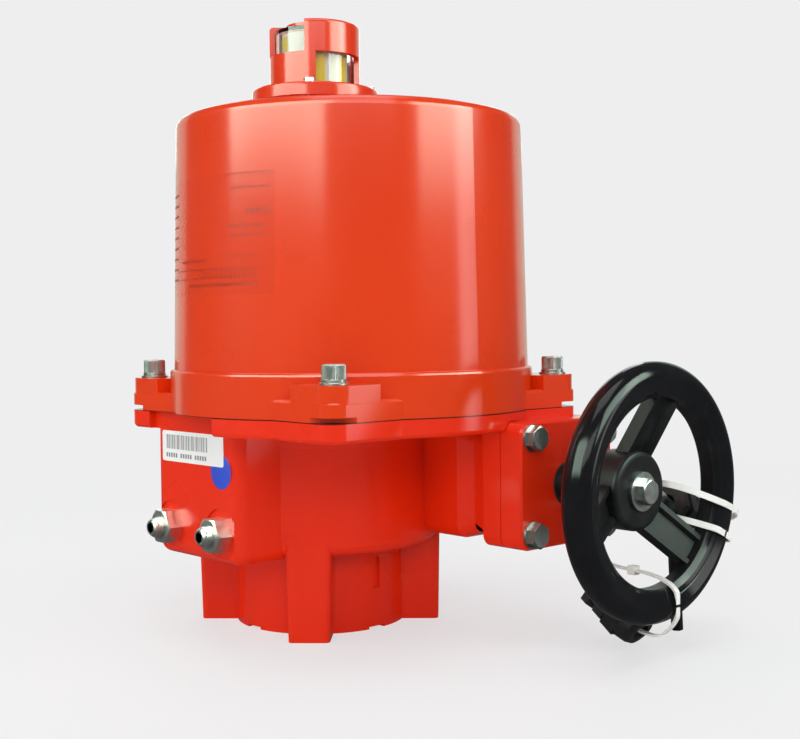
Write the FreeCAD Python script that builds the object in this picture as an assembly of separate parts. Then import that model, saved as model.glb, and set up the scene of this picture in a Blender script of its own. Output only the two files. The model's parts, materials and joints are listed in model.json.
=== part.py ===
import FreeCAD, Part
import math
import os

V = FreeCAD.Vector
ALONG_X = V(1, 0, 0)
ALONG_Y = V(0, 1, 0)
ALONG_Z = V(0, 0, 1)

# Electric quarter-turn valve actuator, in millimetres.
# Origin: centre of the mounting face, on the axis of the output drive. +Z is up, +X points to the handwheel.

# Clearances
run_gap = 0.05            # radial clearance of a shaft in its bush
seat_gap = 0.3            # between pieces that only lie beside each other
fit_gap = 0.03            # radial clearance of a part pushed into its seat
bite = 1.0                # how far a tool runs past a face, or a piece into the one it joins
same_plane = 1e-6         # faces closer than this lie in one plane
diagonal = 45.0

# Mounting posts and ring under the casting
bolt_circle = 125.0
post_face_r = 75.0
post_half_w = 12.25
post_draft = 1.2
post_corner_r = 3.0
post_h = 50.0
post_drill_r = 5.1
post_drill_depth = 22.0
drill_tip = 0.6            # length of a drill's point, as a share of its radius
ring_r = 53.5
ring_notch_w = 12.0        # shallow notches across the foot of the ring
ring_notch_h = 1.5
ring_groove_w = 5.0        # upright groove in the ring, below the gear block
ring_groove_depth = 2.0
ring_groove_low = 25.0
ring_groove_high = 44.0

# Gear casting
body_r = 76.5
body_edge_r = 8.0
seam_z = 134.6
flange_t = 10.6
flange_fillet = 10.0
flange_edge_r = 2.5
flange_lip = 0.5           # the casting stands out under the cover by this much
rim_r = 111.0
ear_inset = 11.5           # how far the flat sides lie inside the round rim
ear_corner_r = 10.0
dome_x = 32.8
stop_face_y = -95.5
stop_box_half = 42.0
stop_box_r = 8.0
stop_box_wall = 12.5
stop_box_drop = 2.0        # the stop box reaches this far below the top of the posts
casting_wall = 8.5
floor_z = 56.0
wheel_room = 2.5           # space round the teeth of the worm wheel
seat_land = 4.5            # a bearing seat is this much longer than its bearing
plug_room = 6.0
slot_depth = 6.0           # of the idler's slot, below the flange
slot_gap = 1.5
slot_back = 0.5
cable_boss_out = 9.0
cable_boss_half = 38.0
cable_boss_low = 90.0
cable_boss_edge = 3.0
cable_hole_r = 9.2
cable_hole_y = 19.0
cable_hole_z = 106.0

# Gear block and its cover plate
block_end_x = 138.0
lip_t = 15.0
lip_edge = 1.5
waist_steps = 8
waist_corner_r = 9.0
neck_x = 117.0
neck_depth = 5.0
neck_reach = 16.0
block_inset = 1.5
plate_gasket_t = 0.5
plate_t = 15.5
plate_half_w = 41.0
plate_half_h = 36.5
plate_corner_r = 7.0
plate_bolt_y = 31.25
plate_bolt_z = 27.7
plate_bolt_hole = 13.0
plate_bolt_reach = 11.0
plate_lift = 1.0           # middle of the plate above the worm
plate_edge = 1.2
block_wall = 6.0
gear_room_gap = 1.2

# Worm gear pair: the worm runs beside the wheel, above the stop cam
module_worm = 2.5
dedendum = 1.2             # depth of a tooth below the pitch line, in modules
wheel_teeth = 38
worm_pitch_r = 13.75
worm_z = 91.8
worm_turns = 7
worm_backlash = 0.45
wheel_face = 18.0
wheel_hub_r = 36.0
web_depth = 5.0
wheel_band = 5.0
thread_root = 0.6          # the thread is rooted this deep in the core
thread_top = 0.1
pressure_angle = math.radians(20)

# Spur gears from the motor down to the worm shaft
module_spur = 1.5
shaft_gear_teeth = 36
idler_teeth = 32
pinion_teeth = 12
spur_backlash = 0.3
spur_face = 8.0
spur_x = 70.0
idler_y = 48.0
spur_key_w = 4.0
spur_key_in = 2.5
spur_key_out = 2.0
spur_key_end = 0.5
pin_collar_w = 2.5
pin_clip_t = 1.0
pin_past_gear = 2.2

# Output drive
sleeve_low_r = 26.0
sleeve_seat_r = 28.0
sleeve_top_r = 20.0
sleeve_bore_r = 14.0
sleeve_bore_depth = 56.0
sleeve_foot_z = 4.0
sleeve_top_z = 142.0
sleeve_edge = 1.0
sleeve_shoulder = 4.0
circlip_t = 1.8
circlip_in = 1.5
circlip_slack = 0.1
output_seal_lift = 1.0
output_seal_t = 4.7
bush_t = 4.0
thrust_t = 2.0
drive_key_w = 8.0
drive_key_in = 4.0
socket_key_w = 8.0
socket_key_h = 3.3

# Stop cam and stop screws
stop_x = 25.7
stop_z = 65.8
stop_screw_r = 6.0
stop_tip_y = -40.0
stop_screw_out = 17.5
stop_nut_flat = 19.0
stop_nut_t = 9.5
stop_edge = 1.0
stop_socket_depth = 7.0
socket_flat = 6.0
spot_face_r = 15.0
spot_face_depth = 1.2
cam_t = 15.0
cam_arm_in = 17.0
cam_arm_out = 36.0
cam_base_r = 34.0

# Worm shaft
shaft_r = 10.0
shaft_end_r = 8.0
shaft_start_x = -51.5
shaft_past_gear = 4.0
shaft_sunk = 1.0
shoulder_gap = 0.2
flat_depth = 1.5
flat_start = 4.0
plug_t = 4.5
bearing_r = 21.0
bearing_w = 12.0
left_bearing_x = -52.0
mid_bearing_x = 40.0
tunnel_wall = 5.0
seal_r = 13.0
seal_t = 7.0
cover_bush_r = 11.0

# Motor cover
dome_h = 174.9             # top of the cover above the seam
skirt_h = 25.4
dome_step = 2.5            # width of the ledge
dome_draft = 3.2           # how much narrower the cover is at its top
dome_edge_r = 5.5
dome_inner_edge = 3.0
dome_rim_slope = 9.0
ledge_edge_r = 2.0
ear_edge = 1.5
boss_root = 22.0           # how far a boss runs back into the cover
dome_wall = 5.0
dome_rim_w = 17.0
dome_rim_h = 11.0
ear_gap = 3.1
ear_gap_r = 129.0
ear_t = 11.4
boss_h = 19.7
boss_r = 12.0
screw_inset = 12.1         # from the flat side of an ear to its screw
screw_r = 4.0
screw_clear = 0.4
screw_short = 1.5
screw_head_edge = 0.7
screw_socket_floor = 3.0
screw_head_r = 6.5
screw_head_h = 8.0
flat_washer_r = 8.0
flat_washer_t = 1.4
spring_washer_r = 6.9
spring_washer_t = 1.6
spigot_h = 6.0
spigot_w = 6.0
seal_ring_t = 2.6
seal_ring_h = 3.0

# Indicator on the cover
pedestal_r = 36.0
pedestal_h = 16.0
pedestal_foot_r = 4.0
ind_flange_r = 39.8
ind_flange_t = 8.0
ind_foot_r = 2.0
ind_screw_r = 2.0
ind_screw_hole = 10.0
ind_screw_reach = 9.0
ind_screw_head_r = 3.5
ind_screw_head_h = 2.4
ind_r = 28.4
ind_h = 40.5               # height of the round part above its flange
ind_edge_r = 2.4
ind_wall = 3.4
window_sill = 1.9          # lower windows start this far above the flange
window_split = 20.5        # and end here, where the upper ones start
window_half_deg = 38.0
window_top_in = 7.0        # how far an upper window runs in over the top
lens_wall = 2.0
drum_r = 20.5
drum_wall = 2.0
drum_lift = 3.0
drum_hub_h = 6.0
drum_roof = 3.0
spindle_r = 6.0
spindle_depth = 20.0
spindle_short = 0.5

# Inner plate and what stands on it
inner_plate_t = 5.0
plate_screw_r = 2.5
plate_screw_hole = 9.0
plate_screw_reach = 8.0
plate_screw_head_r = 4.5
plate_screw_head_h = 3.5
plate_screw_inset = 6.0
plate_screw_first_deg = 80.0
motor_r = 28.0
motor_len = 74.0
motor_shaft_r = 4.0
motor_shaft_in = 12.0
motor_shaft_past = 2.0
motor_bell_l = 10.0
motor_band = 1.5
motor_edge = 2.0
bracket_x = 62.0
bracket_t = 4.0
bracket_margin = 3.0
bracket_corner_r = 12.0
bracket_foot = 12.0
bracket_foot_w = 2.0
bracket_foot_t = 3.0
tongue_half = 9.0
tongue_low = 11.0
tongue_high = 2.0
motor_shaft_clear = 2.0
idler_pin_r = 4.0

board_x = 46.0             # middle of the terminal board
board_y = -59.0
board_len = 74.0
board_w = 30.0
board_t = 2.0
board_lift = 8.0
board_post_r = 3.0
terminal_w = 9.0
terminal_h = 12.0
terminal_count = 8
terminal_hole_r = 2.2
capacitor_x = 86.0
capacitor_y = -14.0
capacitor_r = 17.0
capacitor_h = 66.0
capacitor_edge = 2.0
clip_t = 1.0
clip_h = 18.0
clip_foot_w = 4.0
heater_x = -34.0
heater_y = -26.0
heater_len = 30.0
heater_w = 16.0
heater_h = 34.0
heater_fins = 5
heater_base_w = 7.0

# Limit switches and their cams, on the spindle
switch_h = 74.4            # lower switch above the inner plate
switch_step = 18.0
switch_cam_r = 15.0
switch_cam_base_r = 12.5
switch_cam_t = 7.0
switch_half_w = 14.0
switch_near_y = -20.0
switch_far_y = -34.0
switch_case_h = 11.0
button_r = 1.8
button_clear = 1.2
button_in = 2.0
button_hole = 4.5
button_edge = 0.6
switch_edge = 0.6
switch_lobe_half_deg = 20.0
closed_lobe_deg = 225.0
open_lobe_deg = 315.0
bracket_strip_t = 2.0

# Handwheel
wheel_r = 72.3
rim_radial = 19.5
rim_front_x = 223.0
rim_w = 18.0
rim_bead_share = 0.45      # radius of the bead, as a share of the rim's width
rim_skirt_w = 3.0
rim_skirt_front = 2.5
rim_skirt_edge = 5.0
hub_r = 22.5
hub_front_x = 206.0
hub_t = 19.0
hub_edge_r = 3.0
tail_r = 11.5
spoke_w = 21.0
spoke_t = 6.0
spoke_rib = 3.0
spoke_rib_w = 3.0
spoke_valley = 4.5         # where the valley of a spoke starts, from its side
spoke_in = 6.0
spoke_out = 5.0
spoke_back = 4.0
spoke_sunk = 5.0
spoke_taper = 0.95
spoke_first_deg = 75.9
hex_bolt_flat = 13.0
hex_bolt_head = 5.3
hex_edge = 0.8
hex_face = 0.96            # round face of a hexagon, as a share of its width across flats
wheel_bolt_hole = 18.0
wheel_bolt_reach = 14.0
hub_washer_r = 11.0
hub_washer_t = 2.0

# Cable glands, hex key and ties that hang on the handwheel until the actuator is wired
gland_flat = 24.0
gland_body_t = 7.0
gland_stem_r = 9.8
gland_stem_l = 9.5
gland_bore_r = 5.5
gland_nut_t = 10.0
gland_crown_h = 10.0
gland_crown_r = 8.5
gland_crown_in = 1.5
gland_crown_edge = 3.0
gland_nut_turn = 15.0
locknut_flat = 25.0
locknut_t = 5.0
key_flat = 6.0
key_bend_r = 8.0
key_long = 75.8
key_short = 24.0
tie_w = 3.6
tie_t = 1.2
tie_round = 2.0            # inner corner radius of a closed tie
tie_head = 5.0
tie_turn_back = 3.6        # where a tie leaves the inner side of the rim
tie_turn_in = 0.6
low_tie_aside = 9.0        # beside the wheel's axis
low_gland_x = 199.0        # far end of the dome nut
low_gland_z = 10.0
low_gland_run = 44.0       # the gland's slope, as run and fall
low_gland_fall = 34.0
high_tie_deg = 23.8        # how far the upper tie leans below the level
high_tie_aside = 12.6
high_gland_x = 184.5
high_gland_out = 91.5
high_tie_in = 8.0
high_tie_rise = 11.0
high_tie_over = 12.5
high_head_out = 13.0
key_tie_deg = 27.0
key_tie_inside = 43.0
key_x = 197.0
key_aside = 47.0
key_foot_z = 5.0
key_lean = 5.0

# Values worked out from the ones above
ear_half = rim_r - ear_inset
switch_z = seam_z + inner_plate_t + switch_h
screw_offset = ear_half - screw_inset
dome_wall_low_r = rim_r - dome_step
dome_top_r = dome_wall_low_r - dome_draft
dome_skirt_top = seam_z + skirt_h
dome_top_z = seam_z + dome_h
ear_top_z = seam_z + ear_t
boss_top_z = seam_z + boss_h
wheel_pitch_r = module_worm * wheel_teeth / 2
worm_y = wheel_pitch_r + worm_pitch_r
worm_pitch = math.pi * module_worm
wheel_tip_r = wheel_pitch_r + module_worm
wheel_root_r = wheel_pitch_r - dedendum * module_worm
worm_tip_r = worm_pitch_r + module_worm
worm_root_r = worm_pitch_r - dedendum * module_worm
flange_low_z = seam_z - flange_t
cavity_r = body_r - casting_wall
output_seal_low = sleeve_foot_z + output_seal_lift
output_seal_top = output_seal_low + output_seal_t
plate_face_x = block_end_x + plate_gasket_t + plate_t
plate_z = worm_z + plate_lift
rim_bore_r = rim_r - dome_rim_w
spigot_r = rim_bore_r - seat_gap
seal_low_z = seam_z + (spigot_h - seal_ring_h) / 2
inner_plate_r = spigot_r - spigot_w - seat_gap
inner_plate_top = seam_z + inner_plate_t
low_bush_r = sleeve_low_r + run_gap + bush_t
top_bush_r = sleeve_top_r + run_gap + bush_t
cam_low_z = floor_z + thrust_t + seat_gap
cam_top_z = cam_low_z + cam_t
hub_low_z = cam_top_z + seat_gap
hub_top_z = worm_z + wheel_face / 2 + bush_t
shaft_gear_r = module_spur * shaft_gear_teeth / 2
idler_r = module_spur * idler_teeth / 2
pinion_r = module_spur * pinion_teeth / 2
idler_z = worm_z + math.sqrt((shaft_gear_r + idler_r) ** 2 - (worm_y - idler_y) ** 2)
motor_z = idler_z + idler_r + pinion_r
pedestal_top = dome_top_z + pedestal_h
ind_base_top = pedestal_top + ind_flange_t
ind_top_z = ind_base_top + ind_h
window_low_z = ind_base_top + window_sill
window_mid_z = ind_base_top + window_split
lens_r = ind_r - ind_wall - seat_gap
drum_top_z = ind_top_z - ind_wall - lens_wall - 3 * seat_gap
spur_end_x = spur_x + spur_face


def cylinder(radius, start, end):
    axis = end.sub(start)
    return Part.makeCylinder(radius, axis.Length, start, axis)


def upright(radius, low, high, x=0.0, y=0.0):
    return cylinder(radius, V(x, y, low), V(x, y, high))


def along_x(radius, low, high, y=0.0, z=0.0):
    return cylinder(radius, V(low, y, z), V(high, y, z))


def ring_upright(outer, inner, low, high, x=0.0, y=0.0):
    return upright(outer, low, high, x, y).cut(upright(inner, low - bite, high + bite, x, y))


def ring_along_x(outer, inner, low, high, y=0.0, z=0.0):
    return along_x(outer, low, high, y, z).cut(along_x(inner, low - bite, high + bite, y, z))


def block(x, y, z):
    """A box between pairs of limits."""
    size = [max(pair) - min(pair) for pair in (x, y, z)]
    return Part.makeBox(size[0], size[1], size[2], V(min(x), min(y), min(z)))


def polygon(points):
    return Part.makePolygon(points + [points[0]])


def prism(points, direction):
    return Part.Face(polygon(points)).extrude(direction)


def revolved(profile, x=0.0, y=0.0):
    """A solid of revolution about an upright axis, from (radius, height) points."""
    points = [V(r, 0, z) for r, z in profile]
    solid = Part.Face(polygon(points)).revolve(V(0, 0, 0), ALONG_Z, 360)
    solid.translate(V(x, y, 0))
    return solid


def arc_points(centre, radius, start, end, steps=5):
    """Points of an arc in a (radius, height) profile, angles in degrees."""
    angles = [math.radians(start + (end - start) * i / steps) for i in range(steps + 1)]
    return [(centre[0] + radius * math.cos(a), centre[1] + radius * math.sin(a)) for a in angles]


def rounded_outline(half_a, half_b, corner, place):
    """A rectangle with round corners. place maps the two flat coordinates to a point."""
    edges = []
    spots = [(1, 1, 0), (-1, 1, 90), (-1, -1, 180), (1, -1, 270)]
    ends = []
    for sign_a, sign_b, start in spots:
        centre = (sign_a * (half_a - corner), sign_b * (half_b - corner))
        turn = [math.radians(start + step) for step in (0, 45, 90)]
        ends.append([place(centre[0] + corner * math.cos(t), centre[1] + corner * math.sin(t)) for t in turn])
    for i, (first, middle, last) in enumerate(ends):
        edges.append(Part.Arc(first, middle, last).toShape())
        edges.append(Part.LineSegment(last, ends[(i + 1) % len(ends)][0]).toShape())
    return Part.Wire(edges)


def rounded_plate(half_a, half_b, corner, low, high, x=0.0, y=0.0):
    """An upright slab with round corners."""
    outline = rounded_outline(half_a, half_b, corner, lambda a, b: V(x + a, y + b, low))
    return Part.Face(outline).extrude(V(0, 0, high - low))


def slab_along_x(half_y, half_z, corner, low, high, y, z):
    outline = rounded_outline(half_y, half_z, corner, lambda a, b: V(low, y + a, z + b))
    return Part.Face(outline).extrude(V(high - low, 0, 0))


def hexagon(flat, start, end):
    """A hexagonal bar across flats, between two points."""
    axis = end.sub(start)
    corner_r = flat / math.sqrt(3)
    points = [V(corner_r * math.cos(math.radians(60 * i)), corner_r * math.sin(math.radians(60 * i)), 0)
              for i in range(6)]
    bar = prism(points, V(0, 0, axis.Length))
    bar.Placement = FreeCAD.Placement(start, FreeCAD.Rotation(ALONG_Z, axis))
    return bar


def chamfered_hexagon(flat, start, end, chamfer):
    """A nut or bolt head: a hexagonal bar whose corners are turned off at the far end."""
    axis = end.sub(start)
    tall = axis.Length
    corner_r = flat / math.sqrt(3) + seat_gap
    cone = revolved([(0, 0), (corner_r, 0), (corner_r, tall - chamfer), (flat / 2 * hex_face, tall),
                     (0, tall)])
    cone.Placement = FreeCAD.Placement(start, FreeCAD.Rotation(ALONG_Z, axis))
    return hexagon(flat, start, end).common(cone)


def on_worm_axis(shape):
    """Lays a piece that was made upright at the origin along the axis of the worm."""
    shape.Placement = FreeCAD.Placement(V(0, worm_y, worm_z), FreeCAD.Rotation(V(1, 1, 1), 120))
    return shape


def joined(*pieces):
    whole = pieces[0]
    for piece in pieces[1:]:
        whole = whole.fuse(piece)
    return whole.removeSplitter()


def group(pieces):
    return Part.makeCompound(pieces)


def turned(shape, degrees, centre=V(0, 0, 0), axis=ALONG_Z):
    copy = shape.copy()
    copy.rotate(centre, axis, degrees)
    return copy


def save(name, shape):
    shape.exportStep(os.path.join("parts", name + ".step"))
    print(name, "solids", len(shape.Solids), "valid", shape.isValid(), "volume", round(shape.Volume))


def involute(angle):
    return math.tan(angle) - angle


def gear_outline(teeth, module, root_r, tip_r, backlash, phase):
    """Polar points of an involute gear whose first tooth is centred at the angle phase."""
    pitch_r = module * teeth / 2
    base_r = pitch_r * math.cos(pressure_angle)
    half_pitch = math.pi / teeth / 2 - backlash / pitch_r / 2

    def half_width(radius):
        angle = math.acos(min(1.0, base_r / radius))
        return half_pitch + involute(pressure_angle) - involute(angle)

    start_r = max(base_r, root_r)
    points = []
    for i in range(teeth):
        middle = phase + 2 * math.pi * i / teeth
        left = [(root_r, -half_width(start_r)), (start_r, -half_width(start_r)),
                (pitch_r, -half_width(pitch_r)), (tip_r, -half_width(tip_r))]
        if start_r - root_r < run_gap:
            left = left[1:]
        points += [(r, middle + a) for r, a in left]
        points += [(r, middle - a) for r, a in reversed(left)]
    return points


def spur_gear(teeth, phase, y, z):
    pitch_r = module_spur * teeth / 2
    outline = gear_outline(teeth, module_spur, pitch_r - dedendum * module_spur, pitch_r + module_spur,
                           spur_backlash, phase)
    points = [V(spur_x, y + r * math.cos(a), z + r * math.sin(a)) for r, a in outline]
    return prism(points, V(spur_face, 0, 0))


def at_ears(make):
    """Four copies of a piece, one over each ear of the cover. make takes the place of the screw."""
    return [make(dome_x + sx * screw_offset, sy * screw_offset) for sx in (-1, 1) for sy in (-1, 1)]


def quarters(first_deg):
    """Four directions, a quarter turn apart."""
    return [first_deg + 90 * i for i in range(4)]


def at_plate_bolts(make):
    return [make(worm_y + sy * plate_bolt_y, plate_z + sz * plate_bolt_z) for sy in (-1, 1) for sz in (-1, 1)]


def plate_outline_slab(low, high, shrink=0.0):
    return slab_along_x(plate_half_w - shrink, plate_half_h - shrink, plate_corner_r, low, high, worm_y,
                        plate_z)


def flange():
    """The plan shared by the cover and the casting: a disc with four square ears and a soft lower edge."""
    low, high = flange_low_z, seam_z
    outer = rim_r + flange_lip
    edge = arc_points((outer - flange_edge_r, low + flange_edge_r), flange_edge_r, -90, 0, 3)
    disc = revolved([(0, low)] + edge + [(outer, high), (0, high)], dome_x)
    square = rounded_plate(ear_half, ear_half, ear_corner_r, low, high, dome_x)
    under = [e for e in square.Edges if e.BoundBox.ZMax < low + same_plane]
    return disc.fuse(square.makeChamfer(flange_edge_r / math.sqrt(2), under))


def mounting_post(angle):
    """One post with a flat outer face, wider at its top."""
    top = post_h + body_edge_r
    wires = []
    for z, grow in ((0, 0), (top, post_draft)):
        half, face = post_half_w + grow, post_face_r + grow
        wires.append(polygon([V(0, -half, z), V(face, -half, z), V(face, half, z), V(0, half, z)]))
    post = Part.makeLoft(wires, True, True)
    upright_edges = [e for e in post.Edges if e.BoundBox.XMin > post_face_r - bite and e.BoundBox.ZLength > post_h]
    return turned(post.makeFillet(post_corner_r, upright_edges), angle)


def casting_body():
    """The round gear case, with a soft lower edge and a hollow that runs out under the flange."""
    lower = arc_points((body_r - body_edge_r, post_h + body_edge_r), body_edge_r, -90, 0)
    upper = arc_points((body_r + flange_fillet, flange_low_z - flange_fillet), flange_fillet, 180, 90)
    profile = [(0, post_h)] + lower + upper + [(body_r + flange_fillet, seam_z - bite), (0, seam_z - bite)]
    return revolved(profile)


def stop_box():
    box = block((-stop_box_half, stop_box_half), (stop_face_y, -casting_wall),
                (post_h - stop_box_drop, seam_z))
    edges = []
    for edge in box.Edges:
        bounds = edge.BoundBox
        front = bounds.YMax < stop_face_y + same_plane
        under = bounds.ZMax < post_h - stop_box_drop + same_plane
        sides = bounds.XLength < same_plane
        if (front and sides) or (under and (front or sides)):
            edges.append(edge)
    return box.makeFillet(stop_box_r, edges)


def gear_block():
    """Block for the spur gear, drawn in behind the lip that carries the cover plate."""
    start, end = body_r / 2, block_end_x - lip_t
    wires = []
    for i in range(waist_steps + 1):
        x = start + (end - start) * i / waist_steps
        away = min(1.0, abs(x - neck_x) / neck_reach)
        inset = block_inset + neck_depth * (1 + math.cos(math.pi * away)) / 2
        wires.append(rounded_outline(plate_half_w - inset, plate_half_h - inset, waist_corner_r,
                                     lambda a, b, x=x: V(x, worm_y + a, plate_z + b)))
    waist = Part.makeLoft(wires, True, True)
    lip = plate_outline_slab(end, block_end_x)
    lip = lip.makeChamfer(lip_edge, [e for e in lip.Edges if e.BoundBox.XMax < end + same_plane])
    return waist.fuse(lip)


def cable_boss():
    face_x = -body_r - cable_boss_out
    boss = block((face_x, -body_r + 3 * casting_wall), (-cable_boss_half, cable_boss_half),
                 (cable_boss_low, flange_low_z + 2 * bite))
    edges = [e for e in boss.Edges if e.BoundBox.XMax < face_x + same_plane or
             (e.BoundBox.ZMax < cable_boss_low + same_plane and e.BoundBox.YLength < same_plane)]
    return boss.makeChamfer(cable_boss_edge, edges)


def gear_hollow(tunnel_r, tunnel_low, tunnel_high):
    """The hollow for the gears, open at the top for the worm wheel. The bearing seats are left standing."""
    hollow = upright(cavity_r, floor_z, flange_low_z)
    box_in = stop_box_half - casting_wall
    hollow = hollow.fuse(block((-box_in, box_in), (stop_face_y + stop_box_wall, 0), (floor_z, flange_low_z)))
    seats = along_x(tunnel_r, tunnel_low, left_bearing_x + bearing_w + seat_land, worm_y, worm_z)
    seats = seats.fuse(along_x(tunnel_r, mid_bearing_x - seat_land, tunnel_high, worm_y, worm_z))
    hollow = hollow.cut(seats)
    room_half = shaft_gear_r + module_spur + gear_room_gap
    hollow = hollow.fuse(slab_along_x(plate_half_w - block_wall, room_half, plate_corner_r,
                                      tunnel_high, block_end_x + bite, worm_y, worm_z))
    hollow = hollow.fuse(gear_slot(flange_low_z - slot_depth, seam_z + spigot_h + bite))
    wheel_low = worm_z - wheel_face / 2 - wheel_room
    return hollow.fuse(upright(wheel_tip_r + wheel_room, wheel_low, seam_z + bite))


def post_bores():
    hole = upright(post_drill_r, -bite, post_drill_depth, bolt_circle / 2)
    tip = Part.makeCone(post_drill_r, 0, post_drill_r * drill_tip, V(bolt_circle / 2, 0, post_drill_depth))
    return [turned(hole.fuse(tip), angle) for angle in quarters(diagonal)]


def ring_marks():
    """Shallow notches across the foot of the ring, and the upright groove in its side."""
    notch = block((ring_r - casting_wall, ring_r + bite), (-ring_notch_w / 2, ring_notch_w / 2),
                  (-bite, ring_notch_h))
    groove = block((ring_r - ring_groove_depth, ring_r + bite), (-ring_groove_w / 2, ring_groove_w / 2),
                   (ring_groove_low, ring_groove_high))
    return [turned(notch, angle) for angle in quarters(0)] + [groove]


def stop_bores():
    """Bores of the two stop screws, each with the spot face for its nut."""
    tools = []
    for sign in (-1, 1):
        start = V(sign * stop_x, stop_face_y - stop_nut_t, stop_z)
        end = V(sign * stop_x, stop_face_y + 2 * stop_box_wall, stop_z)
        tools.append(cylinder(stop_screw_r + fit_gap, start, end))
        tools.append(cylinder(spot_face_r, start, V(sign * stop_x, stop_face_y + spot_face_depth, stop_z)))
    return tools


def cable_bores():
    return [along_x(cable_hole_r, -body_r - 2 * cable_boss_out, -cavity_r + casting_wall,
                    sign * cable_hole_y, cable_hole_z) for sign in (-1, 1)]


def screw_bores():
    """Bores of the cover plate's bolts, the motor cover's screws and the inner plate's screws."""
    tools = at_plate_bolts(lambda y, z: along_x(screw_r + fit_gap, block_end_x - plate_bolt_hole,
                                                block_end_x + bite, y, z))
    tools += at_ears(lambda x, y: upright(screw_r + fit_gap, flange_low_z - seat_gap, seam_z + bite, x, y))
    return tools + plate_screw_places(lambda x, y: upright(plate_screw_r + fit_gap, seam_z - plate_screw_hole,
                                                           seam_z + bite, x, y))


def housing():
    """The gear casting: body, ring, posts, flange, stop box, gear block and cable boss, then its hollows."""
    tunnel_r = bearing_r + tunnel_wall
    tunnel_low, tunnel_high = left_bearing_x - plug_room, mid_bearing_x + bearing_w
    outer = casting_body().fuse(upright(ring_r, 0, post_h + body_edge_r))
    for angle in quarters(diagonal):
        outer = outer.fuse(mounting_post(angle))
    before_face = block((-stop_box_half, stop_box_half), (-rim_r * 2, stop_face_y), (0, seam_z + bite))
    outer = outer.fuse(flange()).cut(before_face).fuse(stop_box()).fuse(gear_block()).fuse(cable_boss())
    outer = outer.fuse(along_x(tunnel_r, tunnel_low, tunnel_high, worm_y, worm_z))
    outer = outer.fuse(ring_upright(spigot_r, spigot_r - spigot_w, seam_z - bite, seam_z + spigot_h, dome_x))
    outer = outer.cut(ring_upright(spigot_r + bite, rim_bore_r - seal_ring_t, seal_low_z,
                                   seal_low_z + seal_ring_h, dome_x))
    outer = outer.cut(gear_hollow(tunnel_r, tunnel_low, tunnel_high))
    outer = outer.cut(along_x(bearing_r + fit_gap, tunnel_low + bite, tunnel_high + bite, worm_y, worm_z))
    outer = outer.cut(upright(low_bush_r + fit_gap, -bite, floor_z + bite))
    outer = outer.cut(plate_outline_slab(block_end_x, block_end_x + 2 * plate_t, -plate_gasket_t))
    for tool in post_bores() + ring_marks() + stop_bores() + cable_bores() + screw_bores():
        outer = outer.cut(tool)
    return outer.removeSplitter()


def gear_slot(low, high):
    """The slot through which the idler gear reaches down to the gear on the worm shaft."""
    reach = idler_r + module_spur + slot_gap
    return block((bracket_x - slot_back, spur_end_x + 2 * slot_gap), (idler_y - reach, idler_y + reach),
                 (low, high))


def plate_screw_places(make):
    r = inner_plate_r - plate_screw_inset
    turns = [math.radians(angle) for angle in quarters(plate_screw_first_deg)]
    return [make(dome_x + r * math.cos(t), r * math.sin(t)) for t in turns]


def gear_cover():
    plate = plate_outline_slab(block_end_x + plate_gasket_t, plate_face_x)
    front = [e for e in plate.Edges if e.BoundBox.XMin > plate_face_x - same_plane]
    plate = plate.makeChamfer(plate_edge, front)
    plate = plate.cut(along_x(cover_bush_r + fit_gap, block_end_x, plate_face_x + bite, worm_y, worm_z))
    plate = plate.cut(along_x(seal_r + fit_gap, plate_face_x - seal_t, plate_face_x + bite, worm_y, worm_z))
    for hole in at_plate_bolts(lambda y, z: along_x(screw_r + screw_clear, block_end_x, plate_face_x + bite,
                                                    y, z)):
        plate = plate.cut(hole)
    return plate


def cover_gasket():
    sheet = plate_outline_slab(block_end_x, block_end_x + plate_gasket_t, plate_gasket_t)
    sheet = sheet.cut(plate_outline_slab(block_end_x - bite, plate_face_x, block_wall))
    for hole in at_plate_bolts(lambda y, z: along_x(screw_r + 2 * seat_gap, block_end_x - bite,
                                                    plate_face_x, y, z)):
        sheet = sheet.cut(hole)
    return sheet


def cover_bolt(y, z):
    seat = plate_face_x + flat_washer_t
    shank = along_x(screw_r, block_end_x - plate_bolt_reach, seat + bite, y, z)
    head = chamfered_hexagon(hex_bolt_flat, V(seat, y, z), V(seat + hex_bolt_head, y, z), hex_edge)
    return joined(shank, head)


def sleeve():
    """Output drive sleeve, turned in steps, with a keyed socket for the valve stem."""
    shoulder_z, socket_top = hub_top_z + sleeve_shoulder, sleeve_foot_z + sleeve_bore_depth
    body = revolved([(0, sleeve_foot_z), (sleeve_low_r - sleeve_edge, sleeve_foot_z),
                     (sleeve_low_r, sleeve_foot_z + sleeve_edge), (sleeve_low_r, cam_low_z),
                     (sleeve_seat_r, cam_low_z), (sleeve_seat_r, shoulder_z), (sleeve_top_r, shoulder_z),
                     (sleeve_top_r, sleeve_top_z - sleeve_edge), (sleeve_top_r - sleeve_edge, sleeve_top_z),
                     (0, sleeve_top_z)])
    body = body.cut(upright(sleeve_bore_r, 0, socket_top))
    body = body.cut(block((0, sleeve_bore_r + socket_key_h), (-socket_key_w / 2, socket_key_w / 2),
                          (0, socket_top)))
    body = body.cut(upright(spindle_r + fit_gap, sleeve_top_z - spindle_depth, sleeve_top_z + bite))
    body = body.cut(block((sleeve_seat_r - drive_key_in, sleeve_seat_r + bite),
                          (-drive_key_w / 2, drive_key_w / 2), (cam_low_z, hub_top_z)))
    groove_low = hub_top_z + 2 * circlip_slack
    groove_high = groove_low + circlip_t + 2 * circlip_slack
    return body.cut(ring_upright(sleeve_seat_r + bite, sleeve_seat_r - circlip_in, groove_low, groove_high))


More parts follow.
